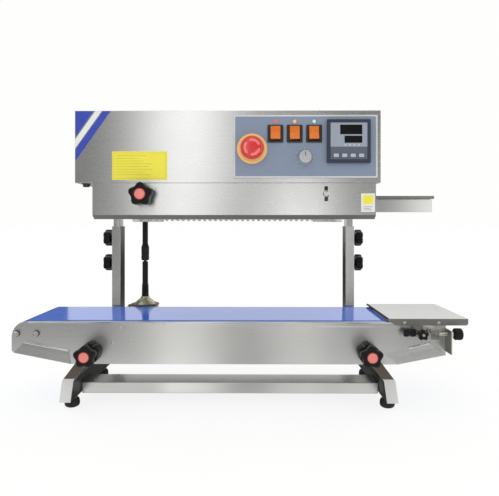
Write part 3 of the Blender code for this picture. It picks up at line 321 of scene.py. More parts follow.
PRINT_OLIVE = moulded("print_olive", (0.52, 0.48, 0.04), 0.45, highlight_share=0.0)
LABEL_YELLOW = moulded("label_yellow", (0.88, 0.78, 0.05), 0.36, texture=700.0, highlight_share=0.0)
LABEL_WHITE = moulded("label_white", (0.80, 0.80, 0.78), 0.36, highlight_share=0.0)
DECAL_BLUE = moulded("decal_blue", (0.035, 0.065, 0.44), 0.30, highlight_share=0.0)
BAND_BROWN = moulded("band_brown", (0.20, 0.11, 0.05), 0.42, texture=1600.0)
BELT_WHITE = moulded("belt_white", (0.60, 0.62, 0.66), 0.52)
SILICONE = moulded("silicone", (0.42, 0.10, 0.07), 0.55)
BELT_BLUE = belt_blue()


# ------------------------------------------------------------------------------- shape tools
LEFTWARD, RIGHTWARD = (-1, 0, 0), (1, 0, 0)
FRONTWARD, REARWARD = (0, -1, 0), (0, 1, 0)
UPWARD, DOWNWARD = (0, 0, 1), (0, 0, -1)
LOBE_TURN = 18.0  # sets one lobe of a five-lobed knob straight up
SIDES = (("left", -1), ("right", 1))
ROWS = (("front", -1), ("rear", 1))


def add_mesh_object(name, mesh, material, smooth=35.0):
    """An object of one material, smooth up to an angle between faces in degrees."""
    mesh.shade_smooth()
    mesh.set_sharp_from_angle(angle=math.radians(smooth))
    mesh.materials.append(material)
    piece = bpy.data.objects.new(name, mesh)
    scene.collection.objects.link(piece)
    return piece


def finish_piece(name, bm, body, material, stands_for=None, smooth=35.0):
    """Turns machine-frame millimetres into a piece that rides on a body."""
    bmesh.ops.recalc_face_normals(bm, faces=bm.faces)
    bm.transform(TO_ROW)
    mesh = bpy.data.meshes.new(name)
    bm.to_mesh(mesh)
    bm.free()
    piece = add_mesh_object(name, mesh, material, smooth)
    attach(piece, body)
    if stands_for:
        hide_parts(stands_for)
    return piece


def make_piece(name, body, material, add_shape, *shape, stands_for=None, slot=None):
    """A piece made by one call of a shape tool."""
    bm = bmesh.new()
    add_shape(bm, *shape)
    return finish_piece(name, bm, body, material, stands_for)


def axis_frame(base, axis, turn=0.0):
    """Local +Z onto an axis at a base point, after a turn about it in degrees."""
    rotation = Vector(UPWARD).rotation_difference(Vector(axis)).to_matrix().to_4x4()
    return Matrix.Translation(base) @ rotation @ Matrix.Rotation(math.radians(turn), 4, "Z")


def facing_front(x, y, z):
    """Local X to the right, local Y up and local Z towards the operator."""
    return Matrix.Translation((x, y, z)) @ Matrix.Rotation(math.radians(90), 4, "X")


def polar(radius, angle):
    return radius * math.cos(angle), radius * math.sin(angle)


def ring_of(bm, placing, points, height):
    return [bm.verts.new(placing @ Vector((x, y, height))) for x, y in points]


def bridge(bm, lower, upper):
    count = len(lower)
    for i in range(count):
        j = (i + 1) % count
        bm.faces.new((lower[i], lower[j], upper[j], upper[i]))


def cap(bm, ring, placing, height):
    """Closes a ring with a fan round its middle."""
    middle = bm.verts.new(placing @ Vector((0.0, 0.0, height)))
    count = len(ring)
    for i in range(count):
        bm.faces.new((ring[i], ring[(i + 1) % count], middle))


def circle_points(radius, steps):
    return [polar(radius, 2 * math.pi * i / steps) for i in range(steps)]


def hex_points(flats, steps=24):
    """Points along a hexagon with a given distance to its flats."""
    points = []
    for i in range(steps):
        angle = 2 * math.pi * i / steps
        reach = flats / math.cos((angle + math.pi / 6) % (math.pi / 3) - math.pi / 6)
        points.append(polar(reach, angle))
    return points


def lobed(radius, lobes, depth, steps):
    """A star outline, as a function of an inset."""
    def outline(inset):
        points = []
        for i in range(steps):
            angle = 2 * math.pi * i / steps
            dip = 0.5 - 0.5 * math.cos(lobes * angle)
            points.append(polar(radius - depth * dip - inset, angle))
        return points
    return outline


def round_rectangle(width, height, radius, steps=6):
    """A rounded rectangle round the origin, as a function of an inset."""
    def outline(inset):
        points = []
        corner = max(radius - inset, 0.05)
        for cx, cy, start in ((1, 1, 0), (-1, 1, 90), (-1, -1, 180), (1, -1, 270)):
            middle_x = cx * (width / 2 - inset - corner)
            middle_y = cy * (height / 2 - inset - corner)
            for i in range(steps + 1):
                along, up = polar(corner, math.radians(start + 90.0 * i / steps))
                points.append((middle_x + along, middle_y + up))
        return points
    return outline


def add_rings(bm, placing, layers):
    """Closed outlines at heights, joined in turn; layers are (points, height)."""
    rings = [ring_of(bm, placing, points, height) for points, height in layers]
    for lower, upper in zip(rings, rings[1:]):
        bridge(bm, lower, upper)
    return rings


def add_layers(bm, placing, layers):
    """A solid through closed outlines at heights; its ends are closed."""
    rings = add_rings(bm, placing, layers)
    cap(bm, rings[0], placing, layers[0][1])
    cap(bm, rings[-1], placing, layers[-1][1])


def circle_layers(profile, steps):
    return [(circle_points(radius, steps), height) for radius, height in profile]


def add_turned(bm, base, axis, profile, steps=48):
    """A turned solid from (radius, height) pairs, bottom to top; its ends are closed."""
    add_layers(bm, axis_frame(base, axis), circle_layers(profile, steps))


def add_turned_ring(bm, base, axis, profile, steps=48):
    """A turned ring from a closed (radius, height) profile, with a hole through it."""
    rings = add_rings(bm, axis_frame(base, axis), circle_layers(profile, steps))
    bridge(bm, rings[-1], rings[0])


def add_frame(bm, placing, outer, inner, low, high, soft=0.3):
    """A frame between two outlines with equal point counts, softened on its upper edges."""
    rings = add_rings(bm, placing, [
        (outer(0.0), low), (outer(0.0), high - soft), (outer(soft), high), (inner(-soft), high),
        (inner(0.0), high - soft), (inner(0.0), low)])
    bridge(bm, rings[-1], rings[0])


def soften_edges(bm, edges, soft, segments=2):
    bmesh.ops.bevel(bm, geom=edges, offset=soft, segments=segments, profile=0.5, affect="EDGES")


def add_cube(bm, placing, soft, segments=2):
    """A unit cube put in place, with softened edges."""
    made = bmesh.ops.create_cube(bm, size=1.0)
    bmesh.ops.transform(bm, matrix=placing, verts=made["verts"])
    if soft:
        soften_edges(bm, list({edge for vert in made["verts"] for edge in vert.link_edges}), soft, segments)


def add_box(bm, low, high, soft=0.4, segments=2):
    """A box between two corners with softened edges."""
    low, high = Vector(low), Vector(high)
    add_cube(bm, Matrix.Translation((low + high) / 2) @ Matrix.Diagonal((*(high - low), 1.0)), soft, segments)


def add_plate(bm, placing, points, low, high, soft=0.0):
    """A flat plate with a polygon outline, softened on its upper edge."""
    lower, upper = add_rings(bm, placing, [(points, low), (points, high)])
    bm.faces.new(lower)
    top = bm.faces.new(upper)
    if soft:
        soften_edges(bm, list(top.edges), soft)


def rectangle(left, right, bottom, top):
    return [(left, bottom), (right, bottom), (right, top), (left, top)]


def soften(node, material, width=0.5, segments=2, fold=None):
    """A copy of a CAD node with its flat faces joined and its edges rounded, in the node's place.

    fold splits the faces at a height, so that each part can have its own material.
    """
    source = frame["nodes"][node]
    name = f"{node}_sheet"
    mesh = source.data.copy()
    mesh.name = name
    bm = bmesh.new()
    bm.from_mesh(mesh)
    bmesh.ops.remove_doubles(bm, verts=bm.verts, dist=0.000002)
    bmesh.ops.dissolve_limit(bm, angle_limit=math.radians(0.8), verts=bm.verts, edges=bm.edges)
    if fold is not None:
        bmesh.ops.bisect_plane(bm, geom=list(bm.verts) + list(bm.edges) + list(bm.faces),
                               plane_co=(0.0, 0.0, fold * MM), plane_no=UPWARD)
    bm.to_mesh(mesh)
    bm.free()
    mesh.materials.clear()
    piece = add_mesh_object(name, mesh, material)
    bevel = piece.modifiers.new("edges", "BEVEL")
    bevel.width = width * MM
    bevel.segments = segments
    bevel.limit_method = "ANGLE"
    bevel.angle_limit = math.radians(40)
    bevel.harden_normals = True
    bevel.use_clamp_overlap = True
    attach(piece, source["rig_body"])
    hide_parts(node)
    return piece


def paint_side(piece, material, direction, beyond_x=-math.inf, above_z=-math.inf):
    """Another material on the faces that look along a direction, beyond a machine X and height; here a darker
    steel as painted shade.
    """
    mesh = piece.data
    mesh.materials.append(material)
    for polygon in mesh.polygons:
        middle = (polygon.center - MACHINE_ORIGIN) / MM
        facing = polygon.normal.dot(Vector(direction)) > 0.8
        if facing and middle.x > beyond_x and middle.z > above_z:
            polygon.material_index = len(mesh.materials) - 1


def repaint(node, material):
    """The CAD node keeps its shape and takes another material."""
    for material_slot in frame["nodes"][node].material_slots:
        material_slot.material = material


# ------------------------------------------------------------------------------- sheet metal
HEAD_FRONT = -62.0
PANEL_FACE = -64.3
LEG_FOLD_Z = 61.0
END_FLANGE_X = 380.0

SHEETS = (
    ("conveyor_frame", CONVEYOR_STEEL, 0.5), ("left_leg", LEG_STEEL, 0.8), ("right_leg", LEG_STEEL, 0.8),
    ("crossbar", BAR_STEEL, 1.0), ("left_outer_column", COLUMN_STEEL, 1.0),
    ("right_outer_column", COLUMN_STEEL, 1.0), ("infeed_tray", TRAY_STEEL, 0.35),
    ("head_frame", FRAME_STEEL, 0.5), ("head_casing", HEAD_STEEL, 0.5), ("head_rear_panel", HEAD_STEEL, 0.4),
    ("safety_cover", COVER_STEEL, 0.45), ("front_guide_plate", GUIDE_STEEL, 0.3),
    ("rear_guide_plate", GUIDE_STEEL, 0.3), ("belt_tension_block", NICKEL, 0.8),
    ("front_heat_and_cool_bar", ALUMINIUM, 0.4), ("rear_heat_and_cool_bar", ALUMINIUM, 0.4),
    ("temperature_controller", CONTROLLER_NAVY, 0.8), ("control_panel", PANEL_FILM, 0.3))
FOLDS = {"left_leg": LEG_FOLD_Z, "right_leg": LEG_FOLD_Z}
sheets = {node: soften(node, material, width, fold=FOLDS.get(node)) for node, material, width in SHEETS}
repaint("gear_motor", DULL_STEEL)

# Painted shade: faces that would mirror the dark side of the room are given darker steels.
for side, sign in SIDES:
    paint_side(sheets[f"{side}_leg"], SHADE_STEEL, (-sign, 0, 0))
    paint_side(sheets[f"{side}_leg"], ARM_SHADE_STEEL, FRONTWARD, above_z=LEG_FOLD_Z)
    paint_side(sheets[f"{side}_outer_column"], SHADE_STEEL, (-sign, 0, 0))
paint_side(sheets["conveyor_frame"], EDGE_SHADE_STEEL, LEFTWARD, beyond_x=END_FLANGE_X)
paint_side(sheets["infeed_tray"], EDGE_SHADE_STEEL, FRONTWARD)
paint_side(sheets["safety_cover"], EDGE_SHADE_STEEL, (0.0, -0.6, -0.8))


# ------------------------------------------------------------------------------- fasteners
def add_screw(bm, base, axis, radius, height):
    """A button-head screw with a hexagon socket."""
    profile = ((radius, -0.2), (radius, height * 0.3), (radius * 0.9, height * 0.72), (radius * 0.66, height))
    add_layers(bm, axis_frame(base, axis), circle_layers(profile, 24) + [
        (hex_points(radius * 0.40), height), (hex_points(radius * 0.36), height * 0.3)])


def add_hex_bolt(bm, base, axis, flats, height, washer=0.0):
    """A hexagon head with chamfered corners, on a washer if one is asked for."""
    start = 0.0
    if washer:
        start = 1.2
        add_turned(bm, base, axis, [(washer, 0.0), (washer, 0.9), (washer - 0.3, start)], 32)
    add_layers(bm, axis_frame(base, axis), [
        (hex_points(flats), start), (hex_points(flats), start + height - 0.8),
        (circle_points(flats * 1.02, 24), start + height - 0.1),
        (circle_points(flats * 0.85, 24), start + height)])


def screws_piece(name, body, material, places, axis, radius, height):
    """A set of equal screws, as one piece."""
    bm = bmesh.new()
    for place in places:
        add_screw(bm, place, axis, radius, height)
    finish_piece(name, bm, body, material)


LEFT_BOLT_X, LEFT_BOLT_Z = (-387.5, -352.0), 135.0
screws_piece("conveyor_front_screws", "base", SCREW_STEEL,
             ((-201.0, 0.0, 146.5), (-214.0, 0.0, 119.0), (-184.0, 0.0, 118.6)), FRONTWARD, 2.6, 1.0)
screws_piece("left_roller_bolts", "base", NICKEL,
             [(x, -2.2, LEFT_BOLT_Z) for x in LEFT_BOLT_X], FRONTWARD, 5.0, 6.0)
# Dark washers under the left roller bolts, painted shadow beside each bolt head.
bm = bmesh.new()
for x in LEFT_BOLT_X:
    add_turned(bm, (x, 0.0, LEFT_BOLT_Z), FRONTWARD, [(5.9, -0.1), (5.9, 1.9), (5.5, 2.3)], 32)
finish_piece("left_roller_shadow_washers", bm, "base", DARK_STEEL)
screws_piece("tray_lip_screws", "base", SCREW_STEEL,
             [(x, -3.4, 155.5) for x in (311.0, 372.0)], FRONTWARD, 3.0, 1.6)
# A black strip along the tray's left edge, painted shadow of the gap between tray and belt.
make_piece("tray_gap_shadow_strip", "base", RUBBER, add_box, (280.2, -3.0, 161.3), (283.8, 167.0, 163.4), 0.5)

bm = bmesh.new()
for x in (-252.0, 14.0, 245.5):
    for z in (408.0, 517.0):
        add_screw(bm, (x, 236.4, z), REARWARD, 3.0, 1.5)
for x, axis in ((-260.5, LEFTWARD), (254.0, RIGHTWARD)):
    for y in (0.0, 180.0):
        add_screw(bm, (x, y, 412.0), axis, 3.0, 1.6)
finish_piece("casing_screws", bm, "sealing_head", SCREW_STEEL)
screws_piece("conveyor_rear_screws", "base", SCREW_STEEL,
             [(x, CONVEYOR_DEPTH, 148.0) for x in (-370.0, -205.0, 0.0, 200.0, 340.0)], REARWARD, 2.6, 1.2)
make_piece("head_underside_bolt", "sealing_head", DARK_STEEL,
           add_hex_bolt, (-247.0, -44.0, 402.0), DOWNWARD, 5.2, 4.6, 7.6)
make_piece("cover_slot_nut", "safety_cover", SCREW_STEEL, add_turned, (162.6, HEAD_FRONT, 383.5), FRONTWARD, [
    (5.2, -0.1), (5.4, 0.5), (5.4, 1.4), (4.6, 1.8), (3.6, 2.0), (3.6, 3.6), (3.0, 4.2)], 32)

# ------------------------------------------------------------------------------- conveyor
ROLLER_LEFT, ROLLER_RIGHT = -368.0, 360.0
ROLLER_Z, ROLLER_RADIUS = 136.0, 20.4
ROLLER_START, ROLLER_END = 8.0, 156.0
BELT_THICKNESS = 1.6
DRIVE_X, DRIVE_Z, SHAFT_Y = -195.0, 129.1, 190.0


def wheel_loop(left, right, middle, radius, steps=28):
    """A belt's path round two equal wheels, as a function of an inset."""
    def outline(inset):
        points = []
        for centre, start in ((right, -90.0), (left, 90.0)):
            for i in range(steps + 1):
                along, out = polar(radius - inset, math.radians(start + 180.0 * i / steps))
                points.append((centre + along, middle + out))
        return points
    return outline


def belt_loop(radius):
    return wheel_loop(ROLLER_LEFT, ROLLER_RIGHT, ROLLER_Z, radius)


make_piece("conveyor_belt_loop", "base", BELT_BLUE, add_frame, facing_front(0.0, 0.0, 0.0),
           belt_loop(ROLLER_RADIUS + BELT_THICKNESS), belt_loop(ROLLER_RADIUS), -157.0, -7.0,
           stands_for="conveyor_belt", slot="belt_blue")

# An end roller's axle, recessed ends and barrel, as radius and place along the conveyor's depth.
ROLLER_PROFILE = (
    (6.0, ROLLER_START), (9.0, ROLLER_START), (9.0, ROLLER_START + 1.0), (17.0, ROLLER_START + 1.0),
    (18.2, ROLLER_START), (19.6, ROLLER_START), (20.1, ROLLER_START + 1.0), (20.1, ROLLER_END - 1.0),
    (19.6, ROLLER_END), (18.2, ROLLER_END), (17.0, ROLLER_END - 1.0), (9.0, ROLLER_END - 1.0),
    (9.0, ROLLER_END), (6.0, ROLLER_END), (6.0, 161.2), (5.4, 161.7))
for side, x, start in (("left", ROLLER_LEFT, 2.3), ("right", ROLLER_RIGHT, -8.0)):
    make_piece(f"{side}_end_roller_turned", f"{side}_end_roller", DULL_STEEL, add_turned,
               (x, start, ROLLER_Z), REARWARD,
               [(5.4, 0.0), (6.0, 0.6)] + [(radius, y - start) for radius, y in ROLLER_PROFILE], 64,
               stands_for=f"{side}_end_roller")
make_piece("drive_roller_turned", "drive_roller", RUBBER, add_turned, (DRIVE_X, 2.3, DRIVE_Z), REARWARD, [
    (6.0, 0.0), (6.0, 5.7), (12.4, 5.7), (13.2, 6.6), (13.2, 153.0), (12.4, 153.7), (6.0, 153.7),
    (6.0, 171.7)], 48, stands_for="drive_roller")

# A rounded hem along the top edge of the front panel, and the bent lower strips at its ends.
make_piece("conveyor_front_hem", "base", CONVEYOR_STEEL,
           add_box, (-367.0, -1.5, 154.0), (384.0, 2.3, 157.3), 1.2, 4)


def add_bent_strip(bm, upper, lower, proud):
    """A strip that leaves the panel at its upper line and stands proud at its lower line."""
    corners = [(upper[0], -0.05), (upper[1], -0.05), (lower[1], -proud), (lower[0], -proud)]
    outer = [bm.verts.new((point[0], y, point[1])) for point, y in corners]
    inner = [bm.verts.new((point[0], 0.4, point[1])) for point, _ in corners]
    bm.faces.new(outer)
    bm.faces.new(inner)
    bridge(bm, outer, inner)


def add_bead(bm, start, end, radius):
    """A half-sunk round bead with domed ends between two points on the front panel."""
    length = (Vector(end) - Vector(start)).length
    add_turned(bm, start, Vector(end) - Vector(start), [
        (radius * 0.45, 0.0), (radius * 0.85, radius * 0.4), (radius, radius), (radius, length - radius),
        (radius * 0.85, length - radius * 0.4), (radius * 0.45, length)], 16)


STRIP_PROUD = 1.9
bm = bmesh.new()
add_bent_strip(bm, ((-374.0, 119.0), (-292.0, 103.5)), ((-392.5, 100.6), (-290.0, 80.6)), STRIP_PROUD)
add_bent_strip(bm, ((358.0, 118.5), (276.0, 99.0)), ((385.0, 97.6), (299.0, 80.6)), STRIP_PROUD)
finish_piece("conveyor_bent_strips", bm, "base", CONVEYOR_STEEL, smooth=10.0)
bm = bmesh.new()
add_bead(bm, (-374.0, 0.1, 119.4), (-292.0, 0.1, 103.9), 2.1)
add_bead(bm, (358.0, 0.1, 118.9), (318.0, 0.1, 109.3), 1.9)
finish_piece("conveyor_strip_beads", bm, "base", SCREW_STEEL)

# ------------------------------------------------------------------------------- infeed end
CLAMP_X, CLAMP_Z = 335.0, 140.0
KNURLED_X, KNURLED_Y = 306.5, -13.0
ROD_X, ROD_Y, ROD_Z = 349.0, -14.0, 138.0
THREADS = 37

star = lobed(9.8, 5, 2.3, 60)
make_piece("tray_star_knob_moulding", "tray_star_knob", BLACK_PLASTIC,
           add_layers, axis_frame((CLAMP_X, -22.0, CLAMP_Z), FRONTWARD, LOBE_TURN), [
               (circle_points(5.4, 60), 0.0), (circle_points(5.4, 60), 3.0), (star(1.0), 3.4),
               (star(0.0), 4.6), (star(0.0), 11.6), (star(0.6), 13.0), (star(1.6), 13.8),
               (circle_points(4.6, 60), 14.0), (circle_points(4.2, 60), 13.2)],
           stands_for="tray_star_knob")
make_piece("tray_star_knob_stud", "tray_star_knob", SCREW_STEEL, add_turned,
           (CLAMP_X, -35.4, CLAMP_Z), REARWARD, [(2.4, 0.0), (3.0, 0.5), (3.0, 39.5), (2.4, 40.0)], 24)

knurl = lobed(6.8, 28, 0.45, 140)
make_piece("tray_knurled_screw_head", "tray_knurled_screw", BLACK_PLASTIC,
           add_layers, axis_frame((KNURLED_X, KNURLED_Y, CLAMP_Z), RIGHTWARD), [
               (circle_points(4.2, 140), 0.0), (circle_points(5.6, 140), 0.3), (knurl(0.5), 0.9),
               (knurl(0.0), 1.6), (knurl(0.0), 7.2), (knurl(0.6), 8.0), (circle_points(5.6, 140), 8.4),
               (circle_points(5.6, 140), 12.0), (knurl(0.6), 12.4), (knurl(0.0), 13.2),
               (knurl(0.0), 19.2), (knurl(0.6), 20.2), (circle_points(5.2, 140), 20.8)],
           stands_for="tray_knurled_screw")
make_piece("tray_knurled_screw_tip", "tray_knurled_screw", SCREW_STEEL, add_turned,
           (KNURLED_X + 20.6, KNURLED_Y, CLAMP_Z), RIGHTWARD, [(2.4, 0.0), (2.4, 3.0), (1.8, 3.4)], 24)

thread = [(2.4, 0.0)]
for i in range(THREADS):
    thread += [(3.0, 0.3 + i), (3.0, 0.5 + i), (2.55, 0.8 + i), (2.55, 1.0 + i)]
make_piece("belt_tension_rod", "belt_tension_screw", PLATED_ROD, add_turned, (ROD_X, ROD_Y, ROD_Z), RIGHTWARD,
           thread + [(3.0, THREADS + 0.5), (3.0, 46.0)], 24, stands_for="belt_tension_screw", slot="brass")
make_piece("belt_tension_lock_nut", "belt_tension_screw", SCREW_STEEL,
           add_hex_bolt, (ROD_X + 37.6, ROD_Y, ROD_Z), RIGHTWARD, 4.8, 5.0, 6.0)
thumb = lobed(10.3, 32, 0.5, 160)
make_piece("belt_tension_thumb_knob", "belt_tension_screw", BLACK_PLASTIC,
           add_layers, axis_frame((ROD_X + 45.0, ROD_Y, ROD_Z), RIGHTWARD), [
               (circle_points(5.6, 160), 0.0), (circle_points(8.2, 160), 0.4), (thumb(0.6), 1.4),
               (thumb(0.0), 2.4), (thumb(0.0), 12.4), (thumb(0.5), 13.8), (circle_points(8.4, 160), 14.8),
               (circle_points(4.0, 160), 15.0)])


# ------------------------------------------------------------------------------- clamping knobs
KNOB_STEPS = 100


def knob_circle(radius):
    return circle_points(radius, KNOB_STEPS)


def clamping_knob(node, base, axis, radius, height, capped=False):
    """A five-lobed knob with rounded lobes on a collar and washer, with a domed cap if asked."""
    outline = lobed(radius, 5, radius * 0.22, KNOB_STEPS)
    top = height - (1.0 if capped else 0.0)
    middle = radius * 0.41
    layers = [
        (knob_circle(radius * 0.46), 1.0), (knob_circle(radius * 0.46), 4.6), (outline(2.2), 5.0),
        (outline(0.7), 5.6), (outline(0.0), 7.4), (outline(0.0), top - 4.0), (outline(0.5), top - 2.0),
        (outline(1.6), top - 0.7), (outline(3.0), top - 0.1), (knob_circle(middle + 2.4), top)]
    if capped:
        layers += [(knob_circle(middle + 1.7), top - 0.4), (knob_circle(middle + 1.7), top - 1.4)]
    else:
        layers += [(knob_circle(middle - 0.6), top - 0.7), (knob_circle(middle * 0.5), top - 1.3)]
    make_piece(f"{node}_moulding", node, BLACK_PLASTIC, add_layers, axis_frame(base, axis, LOBE_TURN), layers,
               stands_for=node, slot="black_plastic")
    make_piece(f"{node}_washer", node, SCREW_STEEL, add_turned, base, axis, [
        (4.0, -0.2), (radius * 0.6, -0.2), (radius * 0.6, 0.8), (radius * 0.56, 1.1)])
    if capped:
        make_piece(f"{node}_cap", node, CAP_RED, add_turned, base, axis, [
            (middle, height - 2.4), (middle, height - 1.0), (middle - 0.5, height - 0.55),
            (middle * 0.8, height - 0.25), (middle * 0.5, height - 0.06), (middle * 0.2, height)], 64)
        # Painted reflection: a dark red ring round the cap stands for the cap mirrored in the knob.
        make_piece(f"{node}_cap_reflection", node, CAP_REFLECTION, add_turned_ring, base, axis, [
            (middle + 0.1, height - 2.2), (middle + 1.4, height - 2.2), (middle + 1.4, height - 1.1),
            (middle + 0.8, height - 0.7), (middle + 0.1, height - 0.9)], 64)


LEG_KNOB_Z = 103.5
STAND_MIDDLE_X, COLUMN_FACE, COLUMN_MIDDLE_Y = -3.5, 258.3, 187.0
boss = lobed(18.8, 5, 1.6, KNOB_STEPS)
for side, sign in SIDES:
    low, high = machine_box(f"{side}_leg_knob")
    x = (low.x + high.x) / 2
    clamping_knob(f"{side}_leg_knob", (x, -26.3, LEG_KNOB_Z), FRONTWARD, 20.0, 22.0, capped=True)
    for level, z in (("upper", 303.0), ("lower", 249.5)):
        clamping_knob(f"{side}_{level}_column_knob",
                      (STAND_MIDDLE_X + sign * COLUMN_FACE, COLUMN_MIDDLE_Y, z), (sign, 0, 0), 18.4, 20.0)
    make_piece(f"{side}_leg_knob_boss", "base", BLACK_PLASTIC,
               add_layers, axis_frame((x, -2.7, LEG_KNOB_Z), FRONTWARD, LOBE_TURN),
               [(boss(0.8), 0.0), (boss(0.0), 1.0), (boss(0.0), 22.0), (boss(0.8), 23.2)])
clamping_knob("cover_knob", (-144.2, HEAD_FRONT - 0.3, 381.7), FRONTWARD, 20.0, 34.0, capped=True)

# ------------------------------------------------------------------------------- feet
for row, _ in ROWS:
    for side, _ in SIDES:
        node = f"{row}_{side}_foot"
        low, high = machine_box(node)
        x, y = (low.x + high.x) / 2, (low.y + high.y) / 2
        make_piece(f"{node}_rubber", "base", RUBBER, add_turned, (x, y, 0.0), UPWARD, [
            (8.6, 0.0), (9.4, 0.1), (11.6, 1.4), (12.9, 3.2), (13.4, 5.2), (13.5, 8.0), (13.2, 10.8),
            (12.3, 13.6), (11.0, 15.2), (9.4, 15.9), (5.0, 16.1)], 56, stands_for=node, slot="rubber")
        make_piece(f"{node}_washer", "base", SCREW_STEEL, add_turned, (x, y, 15.8), UPWARD, [
            (9.0, 0.0), (9.0, 1.1), (5.2, 1.3), (5.2, 2.7), (4.8, 2.9)], 32)

# ------------------------------------------------------------------------------- drive shaft
HOUSING_RIBS = 6
BOOT_FOLDS = 7
FLANGE_TOP_Z = 158.0

bm = bmesh.new()
add_turned(bm, (DRIVE_X, SHAFT_Y, 112.0), UPWARD, [
    (25.0, 0.0), (25.0, 41.0), (24.6, 43.6), (23.4, 46.6), (21.6, 49.6), (19.0, 53.0), (15.8, 56.4),
    (12.6, 58.8), (10.6, 60.4), (9.6, 61.6), (9.3, 63.4), (8.7, 64.0)], 64)
for i in range(HOUSING_RIBS):
    turn = Matrix.Rotation(math.radians(360.0 / HOUSING_RIBS * i + 30.0), 4, "Z")
    add_plate(bm, Matrix.Translation((DRIVE_X, SHAFT_Y, 0.0)) @ turn @ facing_front(0.0, 0.0, 0.0), [
        (8.0, 160.0), (24.4, 152.0), (25.6, 156.0), (20.0, 164.4), (13.4, 170.4), (9.0, 173.6)], -1.3, 1.3)
finish_piece("gear_housing_dome", bm, "base", ZINC, "gear_housing")
housing_flange = round_rectangle(64.0, 25.2, 5.0)
bm = bmesh.new()
add_layers(bm, Matrix.Translation((DRIVE_X - 2.0, 177.0, 0.0)), [
    (housing_flange(0.0), 153.0), (housing_flange(0.0), 157.4), (housing_flange(0.6), FLANGE_TOP_Z)])
add_box(bm, (DRIVE_X - 20.0, 164.4, 112.0), (DRIVE_X + 20.0, 188.0, 153.5), 1.5)
finish_piece("gear_housing_base", bm, "base", ZINC)
bm = bmesh.new()
for x in (DRIVE_X - 28.5, DRIVE_X + 25.0):
    add_hex_bolt(bm, (x, 172.0, FLANGE_TOP_Z), UPWARD, 3.6, 3.0)
finish_piece("gear_housing_bolts", bm, "base", DARK_STEEL)
# The housing flange in the darker zinc, painted shade under the dome.
make_piece("gear_housing_flange", "base", SHADED_ZINC, add_turned, (DRIVE_X, SHAFT_Y, 157.8), UPWARD, [
    (29.4, 0.0), (30.0, 0.6), (30.0, 2.2), (29.4, 2.8)], 64)

boot = [(5.2, 0.0), (5.2, 7.0), (7.6, 8.0)]
for i in range(BOOT_FOLDS):
    crest, rise = 7.6 - 0.06 * i, 3.6 * i
    boot += [(crest, 9.0 + rise), (crest, 11.0 + rise), (6.8 - 0.04 * i, 11.6 + rise)]
boot += [(6.9, 35.0), (6.1, 36.2), (6.1, 82.6), (5.6, 83.6), (3.0, 84.0), (3.0, 216.0), (2.4, 217.0)]
make_piece("lower_drive_shaft_boot", "lower_drive_shaft", BLACK_SHAFT,
           add_turned, (DRIVE_X, SHAFT_Y, 168.0), UPWARD, boot, 40, stands_for="lower_drive_shaft")
low, high = machine_box("upper_drive_shaft")
make_piece("upper_drive_shaft_sleeve", "upper_drive_shaft", BLACK_SHAFT,
           add_turned, (DRIVE_X, SHAFT_Y, low.z), UPWARD, [
               (6.8, 0.0), (7.8, 1.4), (8.4, 4.0), (8.4, 10.0), (8.0, 10.6), (8.0, 12.4), (8.4, 13.0),
               (8.4, 28.0), (7.8, 31.0), (6.8, 33.4), (6.0, 36.0), (6.0, 168.0)], 40,
           stands_for="upper_drive_shaft")

# ------------------------------------------------------------------------------- sealing drive
SEAL_Y, OUTFEED_X, INFEED_X = 82.0, -165.0, 185.0
TOOTH_PITCH, TOOTH_REACH = 10.0, 26.9
TOOTH_TOP, TOOTH_BOTTOM, FRONT_TOOTH_BOTTOM = 348.9, 341.4, 338.1


def add_tooth(bm, x, y, angle, bottom=TOOTH_BOTTOM):
    """A rounded guide-belt tooth that points along an angle about the vertical, in radians."""
    placing = Matrix.Translation((x, y, (TOOTH_TOP + bottom) / 2)) @ Matrix.Rotation(angle, 4, "Z")
    add_cube(bm, placing @ Matrix.Diagonal((1.6, 5.2, TOOTH_TOP - bottom, 1.0)), 0.7)


def add_guide_belt(bm, middle, front):
    """A flat loop with teeth round it; those of the frontmost row hang lower."""
    add_frame(bm, Matrix.Identity(4), wheel_loop(OUTFEED_X, INFEED_X, middle, 26.4),
              wheel_loop(OUTFEED_X, INFEED_X, middle, 24.7), 342.0, 349.0, 0.2)
    for i in range(int((INFEED_X - OUTFEED_X) / TOOTH_PITCH)):
        x = OUTFEED_X + TOOTH_PITCH * (i + 0.5)
        for _, sign in ROWS:
            bottom = FRONT_TOOTH_BOTTOM if front and sign < 0 else TOOTH_BOTTOM
            add_tooth(bm, x, middle + TOOTH_REACH * sign, math.radians(90.0 * sign), bottom)
    teeth_round = int(math.pi * TOOTH_REACH / TOOTH_PITCH)
    for centre, start in ((INFEED_X, -90.0), (OUTFEED_X, 90.0)):
        for i in range(1, teeth_round):
            angle = math.radians(start + 180.0 * i / teeth_round)
            along, out = polar(TOOTH_REACH, angle)
            add_tooth(bm, centre + along, middle + out, angle)


